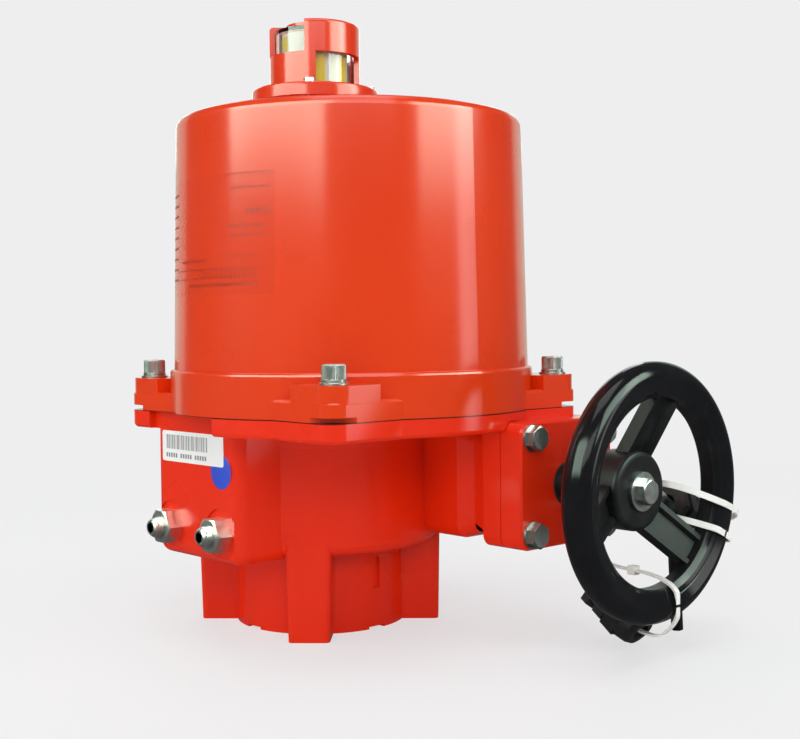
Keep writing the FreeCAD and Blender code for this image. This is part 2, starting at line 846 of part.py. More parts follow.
def sleeve_ring():
    """Retaining ring that keeps the worm wheel down on the sleeve."""
    low = hub_top_z + 3 * circlip_slack
    return ring_upright(sleeve_seat_r + 2 * circlip_in, sleeve_seat_r - circlip_in + circlip_slack,
                        low, low + circlip_t)


def drive_key():
    half = drive_key_w / 2 - fit_gap
    return block((sleeve_seat_r - drive_key_in + fit_gap, sleeve_seat_r + drive_key_in), (-half, half),
                 (cam_low_z + 2 * run_gap, hub_top_z - 2 * run_gap))


def keyed_bore(low, high):
    bore = upright(sleeve_seat_r + fit_gap, low - bite, high + bite)
    way = block((0, sleeve_seat_r + drive_key_in + fit_gap), (-drive_key_w / 2 - fit_gap, drive_key_w / 2 +
                                                              fit_gap),
                (low - bite, high + bite))
    return bore.fuse(way)


def worm_wheel():
    """Wheel with helical teeth that match the thread of the worm where the two cross."""
    lead = module_worm / (2 * worm_pitch_r)
    twist = wheel_face * lead / wheel_pitch_r
    phase = math.pi / 2 + math.pi / wheel_teeth
    low, high = worm_z - wheel_face / 2, worm_z + wheel_face / 2
    wires = []
    for step, z in ((-0.5, low), (0.5, high)):
        outline = gear_outline(wheel_teeth, module_worm, wheel_root_r, wheel_tip_r, worm_backlash,
                               phase + step * twist)
        wires.append(polygon([V(r * math.cos(a), r * math.sin(a), z) for r, a in outline]))
    teeth = Part.makeLoft(wires, True, True)
    for web_low, web_high in ((low - bite, low + web_depth), (high - web_depth, high + bite)):
        teeth = teeth.cut(ring_upright(wheel_root_r - wheel_band, wheel_hub_r, web_low, web_high))
    hub = upright(wheel_hub_r, hub_low_z, hub_top_z)
    return teeth.fuse(hub).cut(keyed_bore(hub_low_z, hub_top_z)).removeSplitter()


def stop_cam():
    """Cam with two flat shoulders, a quarter turn apart, that land on the tips of the stop screws."""
    disc = upright(cam_base_r, cam_low_z, cam_top_z)
    arm = block((cam_arm_in, cam_arm_out), (stop_tip_y + seat_gap, 0), (cam_low_z, cam_top_z))
    other = block((stop_tip_y + seat_gap, 0), (cam_arm_in, cam_arm_out), (cam_low_z, cam_top_z))
    return disc.fuse(arm).fuse(other).cut(keyed_bore(cam_low_z, cam_top_z)).removeSplitter()


def worm_thread():
    """The thread: a rack profile swept along a helix, its half-grown ends cut off. The axis is upright."""
    length = worm_turns * worm_pitch
    thread_half = (worm_pitch - worm_backlash) / 4

    def half_at(radius):
        return thread_half - (radius - worm_pitch_r) * math.tan(pressure_angle)

    inside, tip = worm_root_r - thread_root, worm_tip_r - thread_top
    profile = polygon([V(inside, 0, -half_at(inside)), V(tip, 0, -half_at(tip)),
                       V(tip, 0, half_at(tip)), V(inside, 0, half_at(inside))])
    helix = Part.makeHelix(worm_pitch, length, worm_pitch_r)
    thread = Part.Wire(helix).makePipeShell([profile], True, True)
    thread = Part.Solid(thread) if thread.ShapeType != "Solid" else thread
    thread.translate(V(0, 0, -length / 2))
    far, kept = 2 * worm_tip_r, (length - worm_pitch) / 2
    return thread.common(block((-far, far), (-far, far), (-kept, kept)))


def worm_shaft():
    """Worm and shaft in one piece, with a keyway for the gear and a flat for the handwheel."""
    core = upright(worm_root_r, left_bearing_x + bearing_w + shoulder_gap, mid_bearing_x - shoulder_gap)
    step_x = spur_end_x + shaft_past_gear
    whole = on_worm_axis(core.fuse(worm_thread()))
    whole = whole.fuse(along_x(shaft_r, shaft_start_x, step_x, worm_y, worm_z))
    whole = whole.fuse(along_x(shaft_end_r, step_x - bite, hub_front_x - shaft_sunk, worm_y, worm_z))
    whole = whole.cut(shaft_key(fit_gap)).cut(shaft_flat())
    bolt_hole = along_x(screw_r + fit_gap, hub_front_x - wheel_bolt_hole, hub_front_x + bite, worm_y, worm_z)
    return whole.cut(bolt_hole).removeSplitter()


def shaft_flat(grow=0.0):
    """The tool for the flat by which the handwheel turns its shaft."""
    return block((plate_face_x + flat_start, hub_front_x + 2 * bite), (worm_y - tail_r, worm_y + tail_r),
                 (worm_z + shaft_end_r - flat_depth + grow, worm_z + tail_r))


def shaft_key(grow=0.0):
    half = spur_key_w / 2 + grow
    return block((spur_x + spur_key_end, spur_end_x - spur_key_end), (worm_y - half, worm_y + half),
                 (worm_z + shaft_r - spur_key_in - grow, worm_z + shaft_r + spur_key_out + grow))


def gear_phases():
    """Angle of the first tooth of each spur gear, so that the train is in mesh."""
    to_idler = math.atan2(idler_z - worm_z, idler_y - worm_y)
    shaft_phase = to_idler
    idler_phase = to_idler + math.pi + math.pi / idler_teeth
    to_pinion = math.pi / 2
    offset = idler_phase - to_pinion
    pinion_phase = to_pinion + math.pi - offset * idler_teeth / pinion_teeth + math.pi / pinion_teeth
    return shaft_phase, idler_phase, pinion_phase


def shaft_gear():
    gear = spur_gear(shaft_gear_teeth, gear_phases()[0], worm_y, worm_z)
    gear = gear.cut(along_x(shaft_r + fit_gap, spur_x - bite, spur_end_x + bite, worm_y, worm_z))
    half = spur_key_w / 2 + fit_gap
    return gear.cut(block((spur_x - bite, spur_end_x + bite), (worm_y - half, worm_y + half),
                          (worm_z, worm_z + shaft_r + spur_key_out + fit_gap)))


def plate_washer(y, z):
    return ring_along_x(flat_washer_r, screw_r + seat_gap, plate_face_x, plate_face_x + flat_washer_t, y, z)


def end_plug():
    """Round plug that closes the bore behind the left bearing."""
    high = left_bearing_x - seat_gap
    return along_x(bearing_r, high - plug_t, high, worm_y, worm_z)


def idler_gear():
    gear = spur_gear(idler_teeth, gear_phases()[1], idler_y, idler_z)
    return gear.cut(along_x(idler_pin_r + run_gap, spur_x - bite, spur_end_x + bite, idler_y, idler_z))


def motor_rotor():
    """Motor shaft with its pinion cut on it."""
    gear = spur_gear(pinion_teeth, gear_phases()[2], idler_y, motor_z)
    shaft = along_x(motor_shaft_r, bracket_x - motor_shaft_in, spur_end_x + motor_shaft_past, idler_y,
                    motor_z)
    return joined(gear, shaft)


def motor():
    """Motor can between its two end bells."""
    back = bracket_x - motor_len
    can = along_x(motor_r - motor_band, back + bite, bracket_x - bite, idler_y, motor_z)
    rear = along_x(motor_r, back, back + motor_bell_l, idler_y, motor_z)
    front = along_x(motor_r, bracket_x - motor_bell_l, bracket_x, idler_y, motor_z)
    rear = rear.makeChamfer(motor_edge, [e for e in rear.Edges if e.BoundBox.XMax < back + same_plane])
    bore = along_x(motor_shaft_r + run_gap, bracket_x - motor_shaft_in - bite, bracket_x + bite, idler_y,
                   motor_z)
    return can.fuse(rear).fuse(front).cut(bore).removeSplitter()


def motor_bracket():
    """Upright plate that carries the motor and the pin of the idler gear, on a bent foot."""
    half, top, front = motor_r + bracket_margin, motor_z + motor_r, bracket_x + bracket_t
    wall = block((bracket_x, front), (idler_y - half, idler_y + half), (inner_plate_top, top))
    corners = [e for e in wall.Edges if e.BoundBox.ZMin > top - same_plane and e.BoundBox.YLength < same_plane]
    wall = wall.makeFillet(bracket_corner_r, corners)
    tongue = block((bracket_x, front), (idler_y - tongue_half, idler_y + tongue_half),
                   (idler_z - tongue_low, idler_z + tongue_high))
    foot = block((bracket_x - bracket_foot, front), (idler_y - half, idler_y - half + bracket_foot_w),
                 (inner_plate_top, inner_plate_top + bracket_foot_t))
    whole = wall.fuse(tongue).fuse(foot)
    whole = whole.cut(along_x(motor_shaft_r + motor_shaft_clear, bracket_x - bite, front + bite, idler_y,
                              motor_z))
    whole = whole.cut(along_x(idler_pin_r + fit_gap, bracket_x - bite, front + bite, idler_y, idler_z))
    return whole.removeSplitter()


def idler_pin():
    """Pin of the idler gear, with a collar behind the gear and a clip in front of it."""
    outer, inner = idler_pin_r + pin_collar_w, idler_pin_r - run_gap
    clip_x = spur_end_x + seat_gap
    pin = along_x(idler_pin_r, bracket_x, spur_end_x + pin_past_gear, idler_y, idler_z)
    collar = ring_along_x(outer, inner, bracket_x + bracket_t, spur_x - seat_gap, idler_y, idler_z)
    clip = ring_along_x(outer, inner, clip_x, clip_x + pin_clip_t, idler_y, idler_z)
    return joined(pin, collar, clip)


def ear_bosses(x_sign, y_sign):
    """A boss for one cover screw, run back into the cover along both sides of its ear."""
    x, y = dome_x + x_sign * screw_offset, y_sign * screw_offset
    z_limits = (ear_top_z - 2 * bite, boss_top_z)
    boss = upright(boss_r, z_limits[0], z_limits[1], x, y)
    boss = boss.fuse(block((x, x - x_sign * boss_root), (y + y_sign * boss_r, y - y_sign * boss_r), z_limits))
    return boss.fuse(block((x + x_sign * boss_r, x - x_sign * boss_r), (y, y - y_sign * boss_root), z_limits))


def cover_ears():
    """The square plate with its gap at the corners and its bosses, open in the middle."""
    ears = rounded_plate(ear_half, ear_half, ear_corner_r, seam_z, ear_top_z, dome_x)
    ears = ears.makeChamfer(ear_edge, [e for e in ears.Edges if e.BoundBox.ZMin > ear_top_z - same_plane])
    ears = ears.cut(ring_upright(ear_gap_r * 2, ear_gap_r, seam_z - bite, seam_z + ear_gap, dome_x))
    for x_sign in (-1, 1):
        for y_sign in (-1, 1):
            ears = ears.fuse(ear_bosses(x_sign, y_sign))
    return ears.cut(upright(rim_r - dome_rim_w / 2, seam_z - bite, boss_top_z + bite, dome_x))


def cover_shell():
    """The wall, ledge and roof of the cover, turned in one piece."""
    edge = arc_points((dome_top_r - dome_edge_r, dome_top_z - dome_edge_r), dome_edge_r, 0, 90)
    ledge = arc_points((rim_r - ledge_edge_r, dome_skirt_top - ledge_edge_r), ledge_edge_r, 0, 90, 3)
    inner_top, roof = dome_top_r - dome_wall, dome_top_z - dome_wall
    return revolved([(rim_bore_r, seam_z), (rim_r, seam_z)] + ledge + [(dome_wall_low_r, dome_skirt_top)] +
                    edge +
                    [(0, dome_top_z), (0, roof), (inner_top - dome_inner_edge, roof),
                     (inner_top, roof - dome_inner_edge),
                     (dome_wall_low_r - dome_wall, seam_z + dome_rim_h + dome_rim_slope),
                     (rim_bore_r, seam_z + dome_rim_h)], dome_x)


def pedestal():
    foot = arc_points((pedestal_r + pedestal_foot_r, dome_top_z + pedestal_foot_r), pedestal_foot_r, 270,
                      180, 3)
    low = dome_top_z - bite
    return revolved([(0, low), (pedestal_r + pedestal_foot_r, low)] + foot +
                    [(pedestal_r, pedestal_top), (0, pedestal_top)])


def dome():
    """Hollow motor cover with its ears, bosses and the pedestal of the indicator."""
    shell = cover_shell().fuse(cover_ears()).fuse(pedestal())
    tools = [upright(spindle_r + bush_t + run_gap, dome_top_z - dome_wall - bite, pedestal_top + bite)]
    tools += at_ears(lambda x, y: upright(screw_r + screw_clear, seam_z - bite, boss_top_z + bite, x, y))
    tools += indicator_screw_places(lambda x, y: upright(ind_screw_r + fit_gap, pedestal_top - ind_screw_hole,
                                                         pedestal_top + bite, x, y))
    for tool in tools:
        shell = shell.cut(tool)
    return shell.removeSplitter()


def cover_seal():
    """Flat-sided rubber ring in the groove of the spigot, against the bore of the cover."""
    return ring_upright(rim_bore_r, rim_bore_r - seal_ring_t, seal_low_z + run_gap,
                        seal_low_z + seal_ring_h - run_gap, dome_x)


def indicator_screw_places(make):
    r = (ind_flange_r + ind_r) / 2
    return [make(r * math.cos(math.radians(a)), r * math.sin(math.radians(a))) for a in quarters(diagonal)]


def indicator_screw(x, y):
    head = upright(ind_screw_head_r, ind_base_top, ind_base_top + ind_screw_head_h, x, y)
    return joined(head, upright(ind_screw_r, pedestal_top - ind_screw_reach, ind_base_top + bite, x, y))


def sector(inner, outer, middle_deg, half_deg, low, high):
    """A wedge of a ring, for a window."""
    ring = ring_upright(outer, inner, low, high)
    far = outer * 3
    angles = [math.radians(middle_deg + s * half_deg) for s in (-1, 1)]
    points = [V(0, 0, low - bite)] + [V(far * math.cos(a), far * math.sin(a), low - bite) for a in angles]
    return ring.common(prism(points, V(0, 0, high - low + 2)))


def indicator_housing():
    """Cap over the drum, with two lower windows and two upper ones that run in over the top."""
    top = arc_points((ind_r - ind_edge_r, ind_top_z - ind_edge_r), ind_edge_r, 0, 90, 4)
    foot = arc_points((ind_flange_r - ind_foot_r, ind_base_top - ind_foot_r), ind_foot_r, 0, 90, 3)
    inner = ind_r - ind_wall
    body = revolved([(inner, pedestal_top), (ind_flange_r, pedestal_top)] + foot + [(ind_r, ind_base_top)] +
                    top +
                    [(0, ind_top_z), (0, ind_top_z - ind_wall), (inner, ind_top_z - ind_wall)])
    tools = [sector(inner - bite, ind_r + bite, middle, window_half_deg, window_low_z, window_mid_z)
             for middle in (0, 180)]
    tools += [sector(inner - window_top_in, ind_r + bite, middle, window_half_deg, window_mid_z, ind_top_z +
                     bite)
              for middle in (90, 270)]
    tools += indicator_screw_places(lambda x, y: upright(ind_screw_r + seat_gap, pedestal_top - bite,
                                                         ind_base_top + bite, x, y))
    for tool in tools:
        body = body.cut(tool)
    return body.removeSplitter()


def indicator_lens():
    """Clear cup that closes the windows from inside."""
    top = ind_top_z - ind_wall - seat_gap
    profile = [(lens_r - lens_wall, pedestal_top), (lens_r, pedestal_top), (lens_r, top), (0, top),
               (0, top - lens_wall), (lens_r - lens_wall, top - lens_wall)]
    return revolved(profile)


def indicator_drum():
    """Drum on the spindle, whose coloured bands show through the windows."""
    low, inner, bore = pedestal_top + drum_lift, drum_r - drum_wall, spindle_r + fit_gap
    return revolved([(inner, low), (drum_r, low), (drum_r, drum_top_z), (bore, drum_top_z),
                     (bore, drum_top_z - drum_hub_h), (inner, drum_top_z - drum_roof)])


def indicator_spindle():
    return upright(spindle_r, sleeve_top_z - spindle_depth + spindle_short, drum_top_z - spindle_short)


def switch_cam(level, lobe_deg):
    """A cam that presses the plunger of one limit switch near the end of the travel."""
    low = switch_z + level * switch_step
    high = low + switch_cam_t
    disc = upright(switch_cam_base_r, low, high)
    lobe = sector(spindle_r, switch_cam_r, lobe_deg, switch_lobe_half_deg, low, high)
    return disc.fuse(lobe).cut(upright(spindle_r + fit_gap, low - bite, high + bite)).removeSplitter()


def switch_place(level):
    """Height of a switch's button."""
    return switch_z + level * switch_step + switch_cam_t / 2


def limit_switch(level):
    height = switch_place(level)
    low = height - switch_case_h / 2
    body = block((-switch_half_w, switch_half_w), (switch_far_y, switch_near_y), (low, low + switch_case_h))
    body = body.makeChamfer(switch_edge, [e for e in body.Edges if e.BoundBox.ZLength > switch_case_h - bite])
    return body.cut(cylinder(button_r + run_gap, V(0, switch_near_y - button_hole, height),
                             V(0, switch_near_y + bite, height)))


def plunger(level):
    """Spring-loaded button of a limit switch, out at rest."""
    height = switch_place(level)
    tip = -switch_cam_r - button_clear
    stem = cylinder(button_r, V(0, switch_near_y - button_in, height), V(0, tip, height))
    return stem.makeChamfer(button_edge, [e for e in stem.Edges if e.BoundBox.YMin > tip - same_plane])


def switch_bracket():
    """Bent strip that carries both switches from the inner plate."""
    front = switch_far_y - seat_gap
    wall = block((-switch_half_w, switch_half_w), (front - bracket_strip_t, front),
                 (inner_plate_top, switch_place(1) + switch_case_h))
    foot = block((-switch_half_w, switch_half_w), (front - bracket_strip_t, switch_near_y),
                 (inner_plate_top, inner_plate_top + bracket_strip_t))
    return joined(wall, foot)


def handwheel_rim():
    """Rim with a rounded outer bead and a flatter skirt towards the hub."""
    back, inner = rim_front_x - rim_w, wheel_r - rim_radial
    bead = rim_w * rim_bead_share
    profile = [(inner + rim_skirt_w - bite, back + rim_skirt_w)]
    profile += arc_points((wheel_r - bead, back + bead), bead, -90, 0)
    profile += arc_points((wheel_r - bead, rim_front_x - bead), bead, 0, 90)
    profile += [(inner + rim_skirt_w, rim_front_x - rim_skirt_front), (inner, rim_front_x - rim_skirt_edge),
                (inner, back + rim_skirt_edge)]
    return on_worm_axis(revolved(profile))


def spoke_outline(radius, x, half):
    """Section of a spoke across its length, with a raised rib along each edge."""
    top = x + spoke_t
    ridge = top + spoke_rib
    return polygon([V(x, -half, radius), V(ridge, -half, radius), V(ridge, -half + spoke_rib_w, radius),
                    V(top, -half + spoke_valley, radius), V(top, half - spoke_valley, radius),
                    V(ridge, half - spoke_rib_w, radius), V(ridge, half, radius), V(x, half, radius)])


def spoke(angle):
    """A dished arm from the hub out to the rim."""
    near = spoke_outline(hub_r - spoke_in, hub_front_x - hub_t + spoke_back, spoke_w / 2)
    far = spoke_outline(wheel_r - rim_radial + spoke_out, rim_front_x - rim_w / 2 - spoke_sunk,
                        spoke_w / 2 * spoke_taper)
    arm = Part.makeLoft([near, far], True, True)
    arm.rotate(V(0, 0, 0), ALONG_X, angle - 90)
    arm.translate(V(0, worm_y, worm_z))
    return arm


def handwheel():
    back = hub_front_x - hub_t
    edge = arc_points((hub_r - hub_edge_r, hub_front_x - hub_edge_r), hub_edge_r, 0, 90, 4)
    hub = on_worm_axis(revolved([(0, back), (hub_r, back)] + edge + [(0, hub_front_x)]))
    tail = along_x(tail_r, plate_face_x + seat_gap, back + bite, worm_y, worm_z)
    whole = handwheel_rim().fuse(hub).fuse(tail)
    for i in range(3):
        whole = whole.fuse(spoke(spoke_first_deg + 120 * i))
    bore = along_x(shaft_end_r + fit_gap, plate_face_x, hub_front_x + bite, worm_y, worm_z)
    return whole.cut(bore.cut(shaft_flat(fit_gap))).removeSplitter()


def handwheel_bolt():
    seat = hub_front_x + hub_washer_t
    shank = along_x(screw_r, hub_front_x - wheel_bolt_reach, seat + bite, worm_y, worm_z)
    head = chamfered_hexagon(hex_bolt_flat, V(seat, worm_y, worm_z), V(seat + hex_bolt_head, worm_y, worm_z),
                             hex_edge)
    return joined(shank, head)


def stop_screw(sign):
    x = sign * stop_x
    outer = stop_face_y - stop_screw_out
    screw = cylinder(stop_screw_r, V(x, outer, stop_z), V(x, stop_tip_y, stop_z))
    screw = screw.makeChamfer(stop_edge, [e for e in screw.Edges if e.BoundBox.YLength < same_plane])
    return screw.cut(hexagon(socket_flat, V(x, outer - bite, stop_z),
                             V(x, outer + stop_socket_depth, stop_z)))


def stop_nut(sign):
    x = sign * stop_x
    seat = stop_face_y + spot_face_depth
    nut = chamfered_hexagon(stop_nut_flat, V(x, seat, stop_z), V(x, seat - stop_nut_t, stop_z), stop_edge)
    return nut.cut(cylinder(stop_screw_r + fit_gap, V(x, seat + bite, stop_z),
                            V(x, seat - stop_nut_t - bite, stop_z)))


def cover_screw(x, y):
    seat = boss_top_z + flat_washer_t + spring_washer_t
    top = seat + screw_head_h
    head = upright(screw_head_r, seat, top, x, y)
    head = head.makeChamfer(screw_head_edge, [e for e in head.Edges if e.BoundBox.ZMin > top - same_plane])
    shank = upright(screw_r, flange_low_z + screw_short, seat + bite, x, y)
    return joined(head, shank).cut(hexagon(socket_flat, V(x, y, seat + screw_socket_floor),
                                           V(x, y, top + bite)))


def cover_washers(x, y):
    low = boss_top_z + flat_washer_t
    return [ring_upright(flat_washer_r, screw_r + seat_gap, boss_top_z, low, x, y),
            ring_upright(spring_washer_r, screw_r + seat_gap, low, low + spring_washer_t, x, y)]


def inner_plate():
    plate = upright(inner_plate_r, seam_z, inner_plate_top, dome_x)
    plate = plate.cut(gear_slot(seam_z - bite, inner_plate_top + bite))
    plate = plate.cut(upright(top_bush_r + fit_gap, seam_z - bite, inner_plate_top + bite))
    for hole in plate_screw_places(lambda x, y: upright(plate_screw_r + seat_gap, seam_z - bite,
                                                        inner_plate_top + bite, x, y)):
        plate = plate.cut(hole)
    return plate


def plate_screw(x, y):
    head = upright(plate_screw_head_r, inner_plate_top, inner_plate_top + plate_screw_head_h, x, y)
    return joined(head, upright(plate_screw_r, seam_z - plate_screw_reach, inner_plate_top + bite, x, y))


def gland(dome_end, towards):
    """Plastic cable gland with its locknut, from the far end of its dome nut along a direction."""
    crown_top, half = gland_length(), gland_flat / 2
    nut_low = gland_stem_l + gland_body_t
    nut_high = nut_low + gland_nut_t
    stem = upright(gland_stem_r, 0, gland_stem_l + bite)
    body = hexagon(gland_flat, V(0, 0, gland_stem_l), V(0, 0, nut_low))
    nut = turned(hexagon(gland_flat, V(0, 0, nut_low), V(0, 0, nut_high)), gland_nut_turn)
    crown = revolved([(0, nut_high - bite), (half, nut_high - bite), (half, nut_high + bite),
                      (half - gland_crown_in, crown_top - gland_crown_edge), (gland_crown_r, crown_top),
                      (0, crown_top)])
    locknut = chamfered_hexagon(locknut_flat, V(0, 0, 0), V(0, 0, locknut_t), hex_edge)
    whole = joined(stem, body, nut, crown, locknut).cut(upright(gland_bore_r, -bite, crown_top + bite))
    whole.translate(V(0, 0, -crown_top))
    whole.Placement = FreeCAD.Placement(dome_end,
                                        FreeCAD.Rotation(ALONG_Z, towards)).multiply(whole.Placement)
    return whole


def hex_key(foot, lean_y):
    """Black hex key: a long arm up from its foot, a tangent bend and a short arm to the back."""
    top, far_y = foot.z + key_long, foot.y - lean_y
    along = V(0, -lean_y, key_long).normalize()
    start_bend = V(foot.x, far_y, top) - along * key_bend_r
    end_bend = V(foot.x - key_bend_r, far_y, top)
    centre = start_bend + V(-key_bend_r, 0, 0)
    slant = key_bend_r / math.sqrt(2)
    middle = centre + V(slant, 0, 0) + along * slant
    path = Part.Wire([Part.LineSegment(foot, start_bend).toShape(),
                      Part.Arc(start_bend, middle, end_bend).toShape(),
                      Part.LineSegment(end_bend, V(foot.x - key_short, far_y, top)).toShape()])
    corner_r = key_flat / math.sqrt(3)
    turn = FreeCAD.Rotation(ALONG_Z, along)
    section = []
    for i in range(6):
        angle = math.radians(60 * (i + 0.5))
        section.append(foot + turn.multVec(V(corner_r * math.cos(angle), corner_r * math.sin(angle), 0)))
    bar = path.makePipeShell([polygon(section)], True, False)
    return bar if bar.ShapeType == "Solid" else Part.Solid(bar)


def tie(core, direction, foot, head_at):
    """A closed nylon tie. core holds (x, out) corners, out along a direction across the wheel's axis."""
    across = V(0, -direction.z, direction.y)
    points = [foot + direction * out + V(x, 0, 0) for x, out in core]
    wire = polygon(points)
    inner = Part.Face(wire.makeOffset2D(tie_round))
    outer = Part.Face(wire.makeOffset2D(tie_round + tie_t))
    band = outer.cut(inner)
    band.translate(across * (-tie_w / 2))
    band = band.extrude(across * tie_w)
    head = Part.makeBox(tie_head, tie_head, tie_head, V(-tie_head / 2, -tie_head / 2, -tie_head / 2))
    head.Placement = FreeCAD.Placement(foot + direction * head_at[1] + V(head_at[0], 0, 0),
                                       FreeCAD.Rotation(ALONG_Z, direction))
    return band.fuse(head).removeSplitter()


def around_rim():
    """Corners of a tie where it hugs the rim, as (x, distance from the axis), from the outside inwards."""
    front = rim_front_x - tie_round + run_gap
    inner = wheel_r - rim_radial
    return [(front, wheel_r - 2 * tie_round), (front, inner + 2 * tie_round),
            (front - tie_turn_back, inner + tie_turn_in)]


def low_gland_and_tie():
    """The gland under the rim hangs with its bore on a tie that stands upright across the rim."""
    foot = V(0, worm_y + low_tie_aside, worm_z)
    along = V(low_gland_run, 0, -low_gland_fall).normalize()
    dome_end = V(low_gland_x, foot.y, low_gland_z)
    lift = math.sqrt(gland_bore_r ** 2 - (tie_w / 2) ** 2) - fit_gap + tie_round
    side = V(-along.z, 0, along.x)
    corners = []
    for reach in (-gland_length() - 2 * tie_head, tie_head):
        point = dome_end + along * reach + side * lift
        corners.append((point.x, worm_z - point.z))
    over_locknut = (low_gland_x - gland_length() / 2, corners[0][1] + 1)
    core = [corners[0], over_locknut] + list(reversed(around_rim())) + [corners[1]]
    head_at = (low_gland_x - tie_head, over_locknut[1] - tie_round)
    return gland(dome_end, along), tie(core, V(0, 0, -1), foot, head_at)


def high_gland_and_tie():
    """The gland behind the rim is strung on a tie that leans over the rim."""
    outward = V(0, math.cos(math.radians(high_tie_deg)), -math.sin(math.radians(high_tie_deg)))
    across = V(0, -outward.z, outward.y)
    foot = V(0, worm_y, worm_z) + across * high_tie_aside
    hang = math.sqrt(gland_bore_r ** 2 - (tie_t / 2) ** 2) - tie_w / 2 - fit_gap
    dome_end = foot + outward * high_gland_out + V(high_gland_x, 0, 0) - across * hang
    back = high_gland_x + tie_t / 2 + tie_round
    inner_end = high_gland_out - gland_length()
    core = [(back, inner_end - high_tie_in), (back + high_tie_rise, hub_r + tie_head)]
    core += list(reversed(around_rim()))[1:]
    core += [(back + high_tie_over, high_gland_out - tie_round / 2), (back, high_gland_out + tie_head)]
    head_at = (back + tie_round, hub_r + high_head_out)
    return gland(dome_end, outward), tie(core, outward, foot, head_at)


def key_tie():
    """A tie round the rim beside a spoke, which holds the hex key against the back of the wheel."""
    outward = V(0, math.cos(math.radians(key_tie_deg)), -math.sin(math.radians(key_tie_deg)))
    back = key_x - key_flat / 2 + tie_round - run_gap
    outer = wheel_r - tie_round + 3 * run_gap
    inside = key_tie_inside + tie_round
    core = [(back, inside), (back + 2 * tie_round, inside)] + list(reversed(around_rim()))
    core += [(rim_front_x - rim_skirt_edge, outer), (rim_front_x - rim_w + tie_round, outer),
             (back, inside + key_flat)]
    head_at = (key_x - key_flat / 2 - tie_head / 2, inside + key_flat / 2)
    return tie(core, outward, V(0, worm_y, worm_z), head_at)


def gland_length():
    return gland_stem_l + gland_body_t + gland_nut_t + gland_crown_h


def board_limits(inset):
    half_x, half_y = board_len / 2 - inset, board_w / 2 - inset
    return (board_x - half_x, board_x + half_x), (board_y - half_y, board_y + half_y)


def terminal_board():
    """Board on four posts above the inner plate."""
    low = inner_plate_top + board_lift
    x_limits, y_limits = board_limits(0.0)
    board = block(x_limits, y_limits, (low, low + board_t))
    x_posts, y_posts = board_limits(2 * board_post_r)
    posts = [upright(board_post_r, inner_plate_top, low, x, y) for x in x_posts for y in y_posts]
    return joined(board, *posts)


def terminal_blocks():
    """Rows of terminals, each with its screw wells."""
    low = inner_plate_top + board_lift + board_t
    x_limits, y_limits = board_limits(board_post_r / 2)
    pitch = (x_limits[1] - x_limits[0]) / terminal_count
    rows = []
    for y in (y_limits[0], y_limits[1] - terminal_w):
        row = block(x_limits, (y, y + terminal_w), (low, low + terminal_h))
        for i in range(terminal_count):
            well_x = x_limits[0] + pitch * (i + 0.5)
            row = row.cut(upright(terminal_hole_r, low + terminal_h / 3, low + terminal_h + bite, well_x,
                                  y + terminal_w / 2))
        rows.append(row)
    return group(rows)


def capacitor():
    top = inner_plate_top + capacitor_h
    can = upright(capacitor_r, inner_plate_top, top, capacitor_x, capacitor_y)
    return can.makeChamfer(capacitor_edge, [e for e in can.Edges if e.BoundBox.ZMin > top - 1])


def capacitor_clip():
    """A strap round the foot of the capacitor, with two ears on the inner plate."""
    inner = capacitor_r + seat_gap
    reach = inner + clip_t
    low = inner_plate_top + clip_t
    strap = ring_upright(reach, inner, low, low + clip_h, capacitor_x, capacitor_y)
    foot = block((capacitor_x - reach, capacitor_x + reach),
                 (capacitor_y - clip_foot_w / 2, capacitor_y + clip_foot_w / 2), (inner_plate_top, low +
                                                                                  clip_t))
    hole = upright(inner, inner_plate_top - bite, low + clip_h + bite, capacitor_x, capacitor_y)
    return strap.fuse(foot).cut(hole).removeSplitter()


def heater():
    """Finned block that keeps the inside dry."""
    near_y = heater_y - heater_len / 2
    body = block((heater_x - heater_w / 2, heater_x + heater_w / 2), (near_y, near_y + heater_len),
                 (inner_plate_top, inner_plate_top + heater_h))
    fin = heater_len / (2 * heater_fins)
    for i in range(heater_fins):
        y = near_y + fin * (2 * i + 0.5)
        body = body.cut(block((heater_x - heater_w, heater_x + heater_w / 2 - heater_base_w), (y, y + fin),
                              (inner_plate_top + fin, inner_plate_top + heater_h + bite)))
    return body


